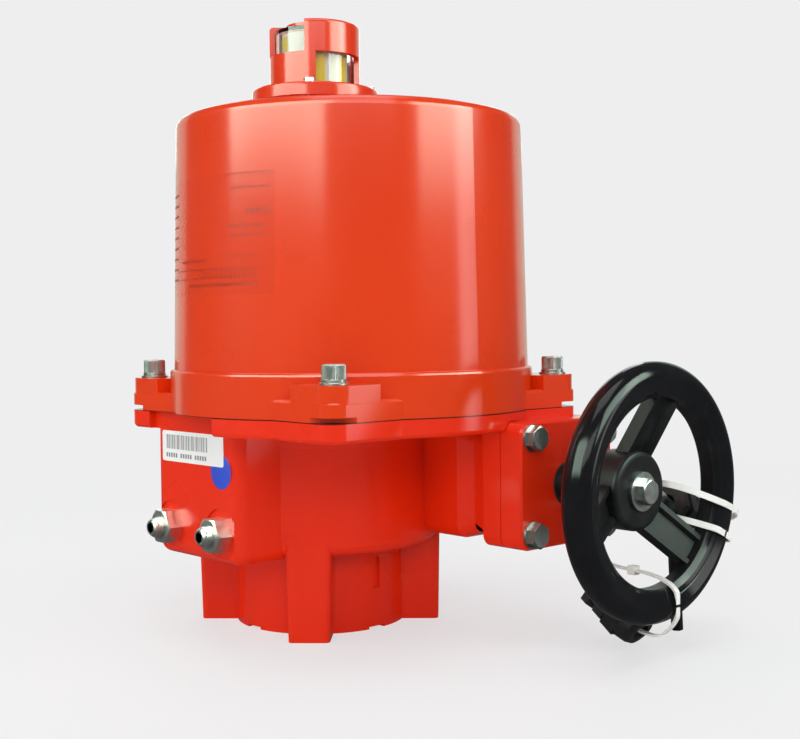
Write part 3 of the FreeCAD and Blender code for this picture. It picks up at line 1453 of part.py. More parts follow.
def build():
    os.makedirs("parts", exist_ok=True)
    save("housing", housing())
    save("gear_cover", gear_cover())
    save("gear_cover_gasket", cover_gasket())
    save("gear_cover_bolts", group(at_plate_bolts(cover_bolt)))
    save("gear_cover_washers", group(at_plate_bolts(plate_washer)))
    save("gear_cover_bush", ring_along_x(cover_bush_r, shaft_end_r + run_gap, block_end_x + plate_gasket_t,
                                         plate_face_x - seal_t, worm_y, worm_z))
    save("gear_cover_seal", ring_along_x(seal_r, shaft_end_r + run_gap, plate_face_x - seal_t, plate_face_x,
                                         worm_y, worm_z))
    save("worm_bearings", group([ring_along_x(bearing_r, shaft_r + run_gap, x, x + bearing_w, worm_y, worm_z)
                                 for x in (left_bearing_x, mid_bearing_x)]))
    save("worm_end_plug", end_plug())
    save("stop_screws", group([stop_screw(s) for s in (-1, 1)]))
    save("stop_nuts", group([stop_nut(s) for s in (-1, 1)]))
    save("output_bush", ring_upright(low_bush_r, sleeve_low_r + run_gap, output_seal_top + seat_gap, floor_z))
    save("output_seal", ring_upright(low_bush_r, sleeve_low_r + run_gap, output_seal_low, output_seal_top))
    save("plate_bush", ring_upright(top_bush_r, sleeve_top_r + run_gap, seam_z, inner_plate_top))
    save("thrust_washer", ring_upright(wheel_hub_r - bite, sleeve_low_r + seat_gap, floor_z, floor_z +
                                       thrust_t))
    save("drive_sleeve", sleeve())
    save("worm_wheel", worm_wheel())
    save("drive_key", drive_key())
    save("sleeve_ring", sleeve_ring())
    save("stop_cam", stop_cam())
    save("worm_shaft", worm_shaft())
    save("shaft_gear", shaft_gear())
    save("shaft_gear_key", shaft_key())
    save("idler_gear", idler_gear())
    save("idler_pin", idler_pin())
    save("motor_rotor", motor_rotor())
    save("motor", motor())
    save("motor_bracket", motor_bracket())
    save("motor_cover", dome())
    save("motor_cover_seal", cover_seal())
    save("motor_cover_screws", group(at_ears(cover_screw)))
    save("motor_cover_washers", group([w for pair in at_ears(cover_washers) for w in pair]))
    save("indicator_housing", indicator_housing())
    save("indicator_lens", indicator_lens())
    save("indicator_drum", indicator_drum())
    save("indicator_spindle", indicator_spindle())
    save("indicator_screws", group(indicator_screw_places(indicator_screw)))
    save("spindle_bush", ring_upright(spindle_r + bush_t, spindle_r + run_gap, dome_top_z - dome_wall,
                                      pedestal_top))
    save("closed_cam", switch_cam(0, closed_lobe_deg))
    save("open_cam", switch_cam(1, open_lobe_deg))
    save("limit_switches", group([limit_switch(level) for level in (0, 1)]))
    save("closed_plunger", plunger(0))
    save("open_plunger", plunger(1))
    save("switch_bracket", switch_bracket())
    save("inner_plate", inner_plate())
    save("inner_plate_screws", group(plate_screw_places(plate_screw)))
    save("terminal_board", terminal_board())
    save("terminal_blocks", terminal_blocks())
    save("capacitor", capacitor())
    save("capacitor_clip", capacitor_clip())
    save("heater", heater())
    save("handwheel", handwheel())
    save("handwheel_bolt", handwheel_bolt())
    low_gland, low_tie = low_gland_and_tie()
    high_gland, high_tie = high_gland_and_tie()
    save("cable_gland_low", low_gland)
    save("cable_gland_high", high_gland)
    save("hex_key", hex_key(V(key_x, worm_y + key_aside, key_foot_z), key_lean))
    save("nylon_ties", group([low_tie, high_tie, key_tie()]))
    save("handwheel_washer", ring_along_x(hub_washer_r, screw_r + seat_gap, hub_front_x,
                                          hub_front_x + hub_washer_t, worm_y, worm_z))


build()
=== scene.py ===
# %% [markdown]
# # An electric valve actuator, dressed for its picture
#
# The solids of the actuator come ready made from the CAD model, in metres, in one shared frame. This lesson
# gives them their paint, metal, rubber and plastic, adds the small pieces that CAD leaves plain, such as
# threads, knurls, stickers and smooth ties, and sets up a quiet studio round them.

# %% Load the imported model
import json
import math

import bmesh
import bpy
from mathutils import Matrix, Vector
from mathutils.geometry import interpolate_bezier


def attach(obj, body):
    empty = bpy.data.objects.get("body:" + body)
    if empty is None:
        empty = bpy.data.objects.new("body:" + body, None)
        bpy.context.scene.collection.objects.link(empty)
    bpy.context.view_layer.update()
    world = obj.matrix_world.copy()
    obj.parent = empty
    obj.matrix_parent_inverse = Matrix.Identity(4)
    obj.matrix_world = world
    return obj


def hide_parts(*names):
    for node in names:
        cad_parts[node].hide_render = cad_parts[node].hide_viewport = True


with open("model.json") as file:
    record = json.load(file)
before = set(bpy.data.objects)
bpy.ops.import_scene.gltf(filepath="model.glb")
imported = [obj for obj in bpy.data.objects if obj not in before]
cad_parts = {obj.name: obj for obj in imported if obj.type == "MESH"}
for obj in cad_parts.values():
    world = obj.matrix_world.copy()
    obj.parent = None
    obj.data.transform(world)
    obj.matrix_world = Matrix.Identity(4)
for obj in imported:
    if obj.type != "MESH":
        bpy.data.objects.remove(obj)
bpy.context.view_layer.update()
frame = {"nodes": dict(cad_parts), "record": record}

# %% [markdown]
# ## Small helpers for materials
#
# Every finish starts from Blender's Principled shader. Real surfaces are never one flat value, so each finish
# gets three things: a slow change of colour, a change of roughness, and a fine bump. All of them read Object
# coordinates, which are metres on the actuator, so a scale of 1000 means features about a millimetre wide.

# %% Start a finish
def plain_finish(name, colour, roughness, metallic=0.0):
    material = bpy.data.materials.new(name)
    material.use_nodes = True
    shader = material.node_tree.nodes["Principled BSDF"]
    shader.inputs["Base Color"].default_value = (*colour, 1.0)
    shader.inputs["Roughness"].default_value = roughness
    shader.inputs["Metallic"].default_value = metallic
    material.diffuse_color = (*colour, 1.0)
    return material, shader


def add_node(material, kind, **settings):
    node = material.node_tree.nodes.new(kind)
    for name, value in settings.items():
        setattr(node, name, value)
    return node


def link(material, output, target):
    material.node_tree.links.new(output, target)


def object_place(material):
    """The Object coordinates of a material, made once."""
    for node in material.node_tree.nodes:
        if node.type == "TEX_COORD":
            return node.outputs["Object"]
    return add_node(material, "ShaderNodeTexCoord").outputs["Object"]


def noise(material, scale, detail=3.0, stretch=None):
    """A noise pattern. stretch squeezes it along the axes, for drawn or brushed metal."""
    node = add_node(material, "ShaderNodeTexNoise")
    node.inputs["Scale"].default_value = scale
    node.inputs["Detail"].default_value = detail
    place = object_place(material)
    if stretch:
        mapping = add_node(material, "ShaderNodeMapping")
        mapping.inputs["Scale"].default_value = stretch
        link(material, place, mapping.inputs["Vector"])
        place = mapping.outputs["Vector"]
    link(material, place, node.inputs["Vector"])
    return node.outputs["Fac"]


def from_to(material, source, low, high, start=0.3, end=0.7):
    """Turns a pattern into a value that runs from low to high."""
    node = add_node(material, "ShaderNodeMapRange")
    for name, value in (("From Min", start), ("From Max", end), ("To Min", low), ("To Max", high)):
        node.inputs[name].default_value = value
    link(material, source, node.inputs["Value"])
    return node.outputs["Result"]


def mix_colours(material, factor, first, second):
    """Blends two colours, or colour outputs, by a pattern."""
    node = add_node(material, "ShaderNodeMix", data_type="RGBA")
    link(material, factor, node.inputs["Factor"])
    for socket, value in ((node.inputs[6], first), (node.inputs[7], second)):
        if isinstance(value, tuple):
            socket.default_value = (*value, 1.0)
        else:
            link(material, value, socket)
    return node.outputs[2]


def add_bump(material, shader, height, strength, distance):
    node = add_node(material, "ShaderNodeBump")
    node.inputs["Strength"].default_value = strength
    node.inputs["Distance"].default_value = distance
    link(material, height, node.inputs["Height"])
    link(material, node.outputs["Normal"], shader.inputs["Normal"])
    return node


def combined(material, operation, first, second):
    node = add_node(material, "ShaderNodeMath", operation=operation)
    for socket, value in zip(node.inputs, (first, second)):
        if isinstance(value, (int, float)):
            socket.default_value = value
        else:
            link(material, value, socket)
    return node.outputs["Value"]


# %% [markdown]
# ## The orange paint
#
# The castings wear a thick, glossy coat of orange-red paint. Such paint levels almost flat but keeps a faint
# waviness called orange peel, so the bump has a broad, weak wave and a much finer one. A thin clear coat on the
# shader gives the sharp highlight over the softer one of the paint itself. A little dust and dulling where
# hands touch it comes from a large, soft noise in the roughness. Below the height of the seam the colour turns
# redder, painted shade for the deeper red of the casting, and at the seam a thin dark line is painted shade in
# the joint.

# %% Orange paint
MM = 0.001
paint_red = (0.725, 0.043, 0.0020)
paint_deep = (0.690, 0.036, 0.0020)
# Painted shade: the casting below the seam is coloured a deeper red to stand for its shade.
casting_shade_red = (0.790, 0.023, 0.0020)
# Painted shade: a thin dark line at the seam stands for the shade in the joint between cover and casting.
seam_shadow = (0.060, 0.004, 0.001)
seam_height, seam_soft, seam_line = 134.6 * MM, 0.1 * MM, (0.15 * MM, 0.45 * MM)


def orange_paint():
    material, shader = plain_finish("orange_paint", paint_red, 0.30)
    tone = mix_colours(material, from_to(material, noise(material, 9.0, 4.0), 0.0, 1.0), paint_red, paint_deep)
    height_above = add_node(material, "ShaderNodeSeparateXYZ")
    link(material, object_place(material), height_above.inputs["Vector"])
    upper = from_to(material, height_above.outputs["Z"], 0.0, 1.0,
                    seam_height - seam_soft, seam_height + seam_soft)
    # Below the seam the colour is the casting's painted shade.
    painted = mix_colours(material, upper, casting_shade_red, tone)
    # A thin line of painted shade along the seam.
    from_seam = combined(material, "SUBTRACT", height_above.outputs["Z"], seam_height)
    off_seam_shade = from_to(material, combined(material, "ABSOLUTE", from_seam, 0.0), 0.0, 1.0, *seam_line)
    link(material, mix_colours(material, off_seam_shade, seam_shadow, painted), shader.inputs["Base Color"])
    link(material, from_to(material, noise(material, 26.0, 5.0), 0.25, 0.40), shader.inputs["Roughness"])
    wave = noise(material, 150.0, 2.0)
    grain = noise(material, 900.0, 2.0)
    height = combined(material, "ADD", wave, combined(material, "MULTIPLY", grain, 0.25))
    add_bump(material, shader, height, 0.05, 0.6 * MM)
    shader.inputs["Specular IOR Level"].default_value = 0.06
    shader.inputs["Coat Weight"].default_value = 0.85
    shader.inputs["Coat Roughness"].default_value = 0.17
    return material


# %% [markdown]
# ## The metals
#
# Zinc plated screws are a dull, cloudy grey. Stainless nuts are a little warmer, brighter and more even. Turned
# steel carries fine rings from the lathe. They share one recipe: two tones blended by a cloudy noise, a roughness
# that varies, and a fine bump that is stretched where a tool left its direction.

# %% A recipe for bare metal
def bare_metal(name, light, dark, rough_low, rough_high, grain=1400.0, strength=0.12, stretch=None):
    material, shader = plain_finish(name, light, rough_low, 1.0)
    tone = mix_colours(material, from_to(material, noise(material, 160.0, 5.0), 0.0, 1.0), light, dark)
    link(material, tone, shader.inputs["Base Color"])
    link(material, from_to(material, noise(material, 300.0, 4.0), rough_low, rough_high),
         shader.inputs["Roughness"])
    add_bump(material, shader, noise(material, grain, 3.0, stretch), strength, 0.08 * MM)
    return material


# %% [markdown]
# ## The plastics and rubber
#
# Moulded plastic has a dull, slightly grainy skin, and where it is polished it reflects sharply. The recipe
# takes a base colour with a worn, lighter tone, and a bump whose grain is half a millimetre or finer.

# %% A recipe for moulded pieces
def moulded(name, colour, worn, rough_low, rough_high, grain=1800.0, strength=0.15, coat=0.0, metallic=0.0):
    material, shader = plain_finish(name, colour, rough_low, metallic)
    wear = from_to(material, noise(material, 60.0, 5.0), 0.0, 1.0, 0.35, 0.8)
    tone = mix_colours(material, wear, colour, worn)
    link(material, tone, shader.inputs["Base Color"])
    link(material, from_to(material, noise(material, 90.0, 4.0), rough_low, rough_high),
         shader.inputs["Roughness"])
    add_bump(material, shader, noise(material, grain, 2.0), strength, 0.1 * MM)
    shader.inputs["Specular IOR Level"].default_value = 0.3
    if coat:
        shader.inputs["Coat Weight"].default_value = coat
        shader.inputs["Coat Roughness"].default_value = 0.08
    return material


# %% [markdown]
# ## The handwheel
#
# The rim of the wheel is polished by the mould and by hands, while the hub and the spokes keep a dull, sandy
# skin. One material covers both: it measures how far a point lies from the wheel's axis, and turns the
# roughness and the grain down where the rim begins. The same distance draws the fine line round the rim.

# %% Handwheel plastic
wheel_axis = Vector((0.0, 61.25, 91.8)) * MM
rim_starts = 54.0 * MM
rim_line = 58.5 * MM


def wheel_plastic():
    black, dusty = (0.0075, 0.0078, 0.0088), (0.022, 0.022, 0.024)
    material, shader = plain_finish("wheel_plastic", black, 0.2)
    shader.inputs["Specular IOR Level"].default_value = 0.20
    across = add_node(material, "ShaderNodeVectorMath", operation="MULTIPLY")
    link(material, object_place(material), across.inputs[0])
    across.inputs[1].default_value = (0.0, 1.0, 1.0)
    away = add_node(material, "ShaderNodeVectorMath", operation="DISTANCE")
    link(material, across.outputs["Vector"], away.inputs[0])
    away.inputs[1].default_value = wheel_axis
    on_rim = from_to(material, away.outputs["Value"], 0.0, 1.0, rim_starts - 2 * MM, rim_starts + 1 * MM)
    dull = combined(material, "SUBTRACT", 1.0, on_rim)
    dust = from_to(material, noise(material, 70.0, 5.0), 0.0, 1.0, 0.45, 0.85)
    tone = mix_colours(material, combined(material, "MULTIPLY", dust, from_to(material, dull, 0.25, 1.0, 0, 1)),
                       black, dusty)
    link(material, tone, shader.inputs["Base Color"])
    rough = combined(material, "ADD", from_to(material, noise(material, 120.0, 3.0), 0.07, 0.13),
                     combined(material, "MULTIPLY", dull, 0.30))
    link(material, rough, shader.inputs["Roughness"])
    sandy = from_to(material, dull, 0.06, 1.0, 0, 1)
    grain = combined(material, "MULTIPLY", noise(material, 1500.0, 2.0), sandy)
    past_line = combined(material, "SUBTRACT", away.outputs["Value"], rim_line)
    off_line = combined(material, "ABSOLUTE", past_line, 0.0)
    line = from_to(material, off_line, -2.0, 0.0, 0.2 * MM, 0.7 * MM)
    add_bump(material, shader, combined(material, "ADD", grain, line), 0.35, 0.15 * MM)
    return material


# %% [markdown]
# ## Clear plastic
#
# The indicator's lens is a clear cup. It lets light through and bends it a little. A trace of haze in its
# roughness stops it from looking like perfect glass.

# %% Make the lens
def clear_lens():
    material, shader = plain_finish("clear_lens", (0.96, 0.97, 0.97), 0.03)
    shader.inputs["Transmission Weight"].default_value = 1.0
    shader.inputs["IOR"].default_value = 1.45
    shader.inputs["Specular IOR Level"].default_value = 0.15
    link(material, from_to(material, noise(material, 80.0, 4.0), 0.02, 0.09), shader.inputs["Roughness"])
    add_bump(material, shader, noise(material, 220.0, 2.0), 0.03, 0.1 * MM)
    return material


# %% [markdown]
# ## Protective film
#
# The film on the cover is almost invisible. It has the colour of the paint below and only a trace of it, so what
# is seen are its highlight and its edges.

# %% Make the film
def film():
    material, shader = plain_finish("clear_film", (0.80, 0.10, 0.04), 0.12)
    shader.inputs["Alpha"].default_value = 0.05
    link(material, from_to(material, noise(material, 40.0, 4.0), 0.08, 0.22), shader.inputs["Roughness"])
    add_bump(material, shader, noise(material, 60.0, 1.0), 0.02, 0.1 * MM)
    return material


# %% [markdown]
# ## The list of finishes
#
# The CAD slots come first, with the names that the record gives them. The stickers and their printing follow.

# %% Make every finish
finishes = {
    "orange_paint": orange_paint(),
    "zinc_steel": bare_metal("zinc_steel", (0.50, 0.50, 0.49), (0.42, 0.42, 0.41), 0.28, 0.38, strength=0.05),
    "stainless": bare_metal("stainless", (0.86, 0.84, 0.81), (0.78, 0.76, 0.73), 0.28, 0.40, strength=0.05),
    "turned_steel": bare_metal("turned_steel", (0.56, 0.56, 0.57), (0.42, 0.42, 0.43), 0.22, 0.36, 700.0, 0.25,
                               (1.0, 1.0, 12.0)),
    "bronze": bare_metal("bronze", (0.72, 0.43, 0.18), (0.52, 0.29, 0.11), 0.26, 0.42),
    "black_rubber": moulded("black_rubber", (0.018, 0.018, 0.018), (0.05, 0.05, 0.048), 0.55, 0.75),
    "motor_paint": moulded("motor_paint", (0.16, 0.17, 0.18), (0.24, 0.25, 0.26), 0.35, 0.5, 900.0),
    "cam_plastic": moulded("cam_plastic", (0.60, 0.60, 0.58), (0.70, 0.70, 0.67), 0.4, 0.55),
    "switch_plastic": moulded("switch_plastic", (0.02, 0.02, 0.022), (0.05, 0.05, 0.05), 0.4, 0.55),
    "board": moulded("board", (0.10, 0.22, 0.10), (0.14, 0.26, 0.13), 0.35, 0.5, 600.0),
    "block_plastic": moulded("block_plastic", (0.35, 0.36, 0.37), (0.45, 0.46, 0.46), 0.42, 0.58),
    "capacitor_can": bare_metal("capacitor_can", (0.72, 0.72, 0.73), (0.60, 0.60, 0.62), 0.3, 0.45, 500.0),
    "heater_alloy": bare_metal("heater_alloy", (0.66, 0.66, 0.66), (0.5, 0.5, 0.5), 0.35, 0.5, 700.0),
    "clear_lens": clear_lens(),
    "drum_plastic": moulded("drum_plastic", (0.86, 0.82, 0.70), (0.80, 0.75, 0.60), 0.35, 0.5, 700.0, 0.08),
    "wheel_plastic": wheel_plastic(),
    "black_plastic": moulded("black_plastic", (0.012, 0.012, 0.013), (0.03, 0.03, 0.03), 0.32, 0.48),
    "black_steel": bare_metal("black_steel", (0.05, 0.05, 0.052), (0.03, 0.03, 0.03), 0.32, 0.45),
    "white_nylon": moulded("white_nylon", (0.80, 0.80, 0.77), (0.72, 0.72, 0.68), 0.3, 0.42),
    "sticker_white": moulded("sticker_white", (0.84, 0.84, 0.83), (0.78, 0.78, 0.76), 0.35, 0.5, 700.0, 0.05),
    "sticker_blue": moulded("sticker_blue", (0.018, 0.060, 0.56), (0.03, 0.08, 0.58), 0.4, 0.55, 700.0, 0.08),
    "sticker_yellow": moulded("sticker_yellow", (0.98, 0.74, 0.004), (0.95, 0.70, 0.01), 0.35, 0.5, 700.0, 0.08),
    "sticker_dark": moulded("sticker_dark", (0.30, 0.012, 0.008), (0.36, 0.03, 0.02), 0.35, 0.5, 700.0, 0.08),
    "print_grey": moulded("print_grey", (0.20, 0.20, 0.20), (0.30, 0.30, 0.30), 0.5, 0.65),
    "print_red": moulded("print_red", (0.40, 0.026, 0.006), (0.48, 0.032, 0.006), 0.3, 0.45),
    "clear_film": film(),
}
print("finishes:", len(finishes))

# %% [markdown]
# ## Dress the CAD pieces
#
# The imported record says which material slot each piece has. The object of a CAD piece is never moved and its
# mesh never changed: only the material in its slots is swapped for the finished one.

# %% Assign the finishes by the record's slots
def dress_cad_pieces():
    dressed = 0
    for part in frame["record"]["subparts"]:
        finish = finishes[part["material_slot"]]
        piece = frame["nodes"][part["node"]]
        if not piece.data.materials:
            piece.data.materials.append(finish)
        for i in range(len(piece.data.materials)):
            piece.data.materials[i] = finish
        dressed += 1
    return dressed


print("CAD pieces dressed:", dress_cad_pieces(), "of", len(frame["nodes"]))

# %% [markdown]
# ## Tools for the small pieces
#
# The small pieces are made with bmesh, Blender's mesh workshop, in millimetres and round an upright axis, and
# are set in place afterwards. Most of them are turned: an outline of a few points is spun round the axis, as a
# lathe would do it. A hexagonal socket is led in from the round edge that the outline leaves open at its top.
# Corners that fall together are merged, and every piece prints how many of its edges are left open: it has to be
# none.

# %% Workshop
slot_of = {part["node"]: part["material_slot"] for part in frame["record"]["subparts"]}
full_turn = 2 * math.pi
merge_gap = 2e-6                         # corners nearer than this, in metres, become one


def finished_piece(name, mesh, body, finish, replaced=None, sharp=35.0):
    bmesh.ops.remove_doubles(mesh, verts=mesh.verts, dist=merge_gap)
    bmesh.ops.recalc_face_normals(mesh, faces=mesh.faces)
    open_edges = sum(not edge.is_manifold for edge in mesh.edges)
    data = bpy.data.meshes.new(name)
    mesh.to_mesh(data)
    mesh.free()
    data.shade_smooth()
    data.set_sharp_from_angle(angle=math.radians(sharp))
    data.materials.append(finishes[finish])
    piece = bpy.data.objects.new(name, data)
    bpy.context.scene.collection.objects.link(piece)
    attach(piece, body)
    if replaced:
        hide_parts(replaced)
    print(name, "faces:", len(data.polygons), "open edges:", open_edges)
    return piece


def corners_of(geometry):
    return [g for g in geometry if isinstance(g, bmesh.types.BMVert)]


def open_rim(mesh):
    return [e for e in mesh.edges if e.is_boundary]


def spun(mesh, outline, steps=48, turn=full_turn, closed=False):
    """Spins an outline of (radius, height) points round Z."""
    verts = [mesh.verts.new((r * MM, 0, z * MM)) for r, z in outline]
    pairs = list(zip(verts, verts[1:])) + ([(verts[-1], verts[0])] if closed else [])
    edges = [mesh.edges.new(pair) for pair in pairs]
    bmesh.ops.spin(mesh, geom=verts + edges, axis=(0, 0, 1), cent=(0, 0, 0), steps=steps, angle=turn)
    bmesh.ops.remove_doubles(mesh, verts=mesh.verts, dist=merge_gap)
    if closed and turn < full_turn:
        bmesh.ops.holes_fill(mesh, edges=open_rim(mesh))


def hex_socket(mesh, flat, top, depth):
    """Leads the open round edge of a spun skin into a hexagonal hole."""
    rim = open_rim(mesh)
    ring = bmesh.ops.create_circle(mesh, segments=6, radius=flat / math.sqrt(3) * MM,
                                   matrix=Matrix.Translation((0, 0, top * MM)))["verts"]
    sides = list({e for v in ring for e in v.link_edges})
    bmesh.ops.bridge_loops(mesh, edges=rim + sides)
    pushed = bmesh.ops.extrude_edge_only(mesh, edges=sides)["geom"]
    bmesh.ops.translate(mesh, vec=(0, 0, -depth * MM), verts=corners_of(pushed))
    bmesh.ops.holes_fill(mesh, edges=open_rim(mesh))


ridge_sink, ridge_half, ridge_crest = 0.1, 0.44, 0.07     # foot below the core, and widths in pitches


def thread(mesh, radius, depth, low, high, pitch, steps=24):
    """A ridge wound round Z, its foot sunk a little into the core, its two ends closed."""
    foot, half, crest = radius - depth - ridge_sink, ridge_half * pitch, ridge_crest * pitch
    outline = ((foot, -half), (radius, -crest), (radius, crest), (foot, half))
    verts = [mesh.verts.new((r * MM, 0, (low + half + z) * MM)) for r, z in outline]
    edges = [mesh.edges.new((a, b)) for a, b in zip(verts, verts[1:] + verts[:1])]
    count = int((high - low - 2 * half) / pitch * steps)
    bmesh.ops.spin(mesh, geom=verts + edges, axis=(0, 0, 1), cent=(0, 0, 0), dvec=(0, 0, pitch * MM / steps),
                   steps=count, angle=full_turn * count / steps)
    bmesh.ops.holes_fill(mesh, edges=open_rim(mesh))


def set_at(mesh, places):
    """Copies what is in the mesh to every place, then takes the pattern away."""
    pattern = mesh.verts[:] + mesh.edges[:] + mesh.faces[:]
    for place in places:
        made = bmesh.ops.duplicate(mesh, geom=pattern)["geom"]
        bmesh.ops.transform(mesh, matrix=place, verts=corners_of(made))
    bmesh.ops.delete(mesh, geom=corners_of(pattern), context="VERTS")


# %% [markdown]
# ## Stop screws
#
# Two set screws limit the travel. They stand out of their lock nuts, so their thread and the hexagonal socket in
# the end are in plain sight. The core is spun with a bevelled end, and the thread is a ridge that climbs one
# pitch each turn.

# %% Make the stop screws
stop_x, stop_tip_y, stop_z, stop_length, stop_r = 25.7, -40.0, 65.8, 70.0, 6.0
stop_pitch, stop_depth, stop_bevel, stop_socket, key_flat = 1.75, 0.95, 0.9, 7.0, 6.0


def stop_screws():
    mesh = bmesh.new()
    core = stop_r - stop_depth
    end_bevel, run_in, run_out = stop_bevel - 0.1, stop_bevel + 0.1, stop_bevel - 0.3
    spun(mesh, [(0, 0), (core - stop_bevel, 0), (core, stop_bevel), (core, stop_length - end_bevel),
                (core - end_bevel, stop_length)])
    hex_socket(mesh, key_flat, stop_length, stop_socket)
    thread(mesh, stop_r, stop_depth, run_in, stop_length - run_out, stop_pitch)
    lie = Matrix.Rotation(math.radians(90), 4, "X")
    tips = [Vector((side * stop_x, stop_tip_y, stop_z)) for side in (-1, 1)]
    set_at(mesh, [Matrix.Translation(tip * MM) @ lie for tip in tips])
    return finished_piece("threaded_stop_screws", mesh, "casing", slot_of["stop_screws"], "stop_screws")


stop_screws()

# %% [markdown]
# ## Cover screws
#
# Socket head screws hold the cover. Their heads are knurled for the fingers: every second corner of the spun
# wall is drawn in a little. Under each head lies a spring washer, which is a ring that is cut through once, and
# a flat washer.

# %% Make the cover screws and their washers
cover_x, screw_reach, boss_top = 32.8, 87.4, 154.3
head_r, head_h, shank_r, shank_h = 6.5, 8.0, 4.0, 31.0
flat_r, flat_t, spring_r, spring_t = 8.0, 1.4, 6.9, 1.6
head_edge, head_bevel, head_crown, socket_lip, head_floor = 0.3, 0.8, 0.7, 2.6, 3.0
knurl_steps, knurl_in = 88, 0.96
screw_seat = boss_top + flat_t + spring_t


def over_ears(height):
    return [Matrix.Translation(Vector((cover_x + sx * screw_reach, sy * screw_reach, height)) * MM)
            @ Matrix.Rotation(1.1 * sx + 0.4 * sy, 4, "Z") for sx in (-1, 1) for sy in (-1, 1)]


def cover_screws():
    mesh = bmesh.new()
    tip = 2 * head_edge
    spun(mesh, [(0, -shank_h), (shank_r - tip, -shank_h), (shank_r, tip - shank_h), (shank_r, 0),
                (head_r - head_edge, 0), (head_r, head_edge), (head_r, head_h - head_bevel),
                (head_r - head_crown, head_h), (head_r - socket_lip, head_h)], knurl_steps)
    step = full_turn / knurl_steps
    for v in mesh.verts:
        on_wall = math.hypot(v.co.x, v.co.y) > (head_r - 0.05) * MM
        if on_wall and round(math.atan2(v.co.y, v.co.x) / step) % 2:
            v.co.x, v.co.y = v.co.x * knurl_in, v.co.y * knurl_in
    hex_socket(mesh, key_flat, head_h, head_h - head_floor)
    set_at(mesh, over_ears(screw_seat))
    return finished_piece("knurled_cover_screws", mesh, "casing", slot_of["motor_cover_screws"],
                          "motor_cover_screws", sharp=20.0)


def ring_outline(inner, outer, low, high, edge):
    return [(inner, low), (outer - edge, low), (outer, low + edge), (outer, high - edge), (outer - edge, high),
            (inner, high)]


def cover_washers():
    mesh = bmesh.new()
    hole_r, apart, cut = shank_r + 0.3, 0.02, math.radians(9)
    spun(mesh, ring_outline(hole_r, flat_r, 0, flat_t, 0.25), closed=True)
    spun(mesh, ring_outline(hole_r, spring_r, flat_t + apart, flat_t + spring_t - apart, 0.2), 60,
         full_turn - cut, closed=True)
    set_at(mesh, over_ears(boss_top))
    return finished_piece("split_and_flat_washers", mesh, "casing", slot_of["motor_cover_washers"],
                          "motor_cover_washers")


cover_screws()
cover_washers()

# %% [markdown]
# ## Stickers
#
# A sticker is a sheet a tenth of a millimetre thick. The flat ones are cut as a rounded rectangle or a disc. The
# sheets on round walls are first made flat, as a grid, and then bent: across the sheet becomes an angle. The
# printing is left generic: plain bars and ruled lines.

# %% Sheets, flat and bent
sheet_t, film_t, print_t, air = 0.12, 0.06, 0.03, 0.02     # sheets, printing, and the gap under a sheet
stop_face_y = -95.5
label_x, label_z, label_half_w, label_half_h, label_corner = -1.5, 114.0, 32.0, 9.2, 1.6
dot_x, dot_z, dot_r, dot_top_r = 27.5, 102.0, 10.0, 9.9


def flat_sheet(mesh, half_w, half_h, corner, thick):
    """A rounded sheet in the XY plane, from z = 0 up."""
    bmesh.ops.create_grid(mesh, x_segments=1, y_segments=1, size=1.0)
    bmesh.ops.scale(mesh, vec=(half_w * MM, half_h * MM, 1), verts=mesh.verts)
    bmesh.ops.bevel(mesh, geom=mesh.verts[:], offset=corner * MM, segments=5, profile=0.5, affect="VERTICES")
    solid = bmesh.ops.extrude_face_region(mesh, geom=mesh.faces[:])["geom"]
    bmesh.ops.translate(mesh, vec=(0, 0, thick * MM), verts=corners_of(solid))
    bmesh.ops.holes_fill(mesh, edges=open_rim(mesh))


def bar(mesh, x, y, width, tall, thick, lift=0.0):
    place = Matrix.Translation(Vector((x, y, lift + thick / 2)) * MM)
    size = Matrix.Diagonal((width * MM, tall * MM, thick * MM, 1.0))
    bmesh.ops.create_cube(mesh, size=1.0, matrix=place @ size)


def bent_sheet(mesh, centre_x, radius_at, turns, heights, thick, columns=24, rows=2):
    """A sheet between two angles and two heights on a round wall. radius_at gives its radius for a height."""
    made = bmesh.ops.create_grid(mesh, x_segments=columns, y_segments=rows, size=0.5)["verts"]
    faces = list({f for v in made for f in v.link_faces})
    solid = bmesh.ops.extrude_face_region(mesh, geom=faces, use_keep_orig=True)["geom"]
    for v, out in [(v, 0.0) for v in made] + [(v, thick) for v in corners_of(solid)]:
        angle = math.radians(turns[0] + (turns[1] - turns[0]) * (v.co.x + 0.5))
        height = heights[0] + (heights[1] - heights[0]) * (v.co.y + 0.5)
        radius = radius_at(height) + out
        v.co = Vector((centre_x + radius * math.cos(angle), radius * math.sin(angle), height)) * MM


# %% Label with its bars, and the round blue sticker
def on_stop_face(x, z, lift=0.0):
    return Matrix.Translation(Vector((x, stop_face_y - lift, z)) * MM) @ Matrix.Rotation(math.radians(90), 4, "X")


def label_and_dot():
    mesh = bmesh.new()
    flat_sheet(mesh, label_half_w, label_half_h, label_corner, sheet_t)
    set_at(mesh, [on_stop_face(label_x, label_z, air)])
    finished_piece("white_label", mesh, "casing", "sticker_white")

    mesh = bmesh.new()
    x, count = -27.5, 34
    for i in range(count):
        width = 0.35 + 0.32 * ((5 * i + i * i) % 4)
        bar(mesh, x + width / 2, 2.6, width, 8.6, print_t)
        x += width + 0.42 + 0.2 * (i % 3)
    for i in range(17):
        if i not in (5, 11):
            bar(mesh, -27.0 + 2.55 * i, -5.4, 1.7, 2.6, print_t)
    set_at(mesh, [on_stop_face(label_x, label_z, sheet_t + air)])
    finished_piece("label_bars", mesh, "casing", "print_grey")

    mesh = bmesh.new()
    bmesh.ops.create_cone(mesh, cap_ends=True, segments=64, radius1=dot_r * MM, radius2=dot_top_r * MM,
                          depth=film_t * MM, matrix=Matrix.Translation((0, 0, film_t / 2 * MM)))
    set_at(mesh, [on_stop_face(dot_x, dot_z, air)])
    finished_piece("blue_dot", mesh, "casing", "sticker_blue")


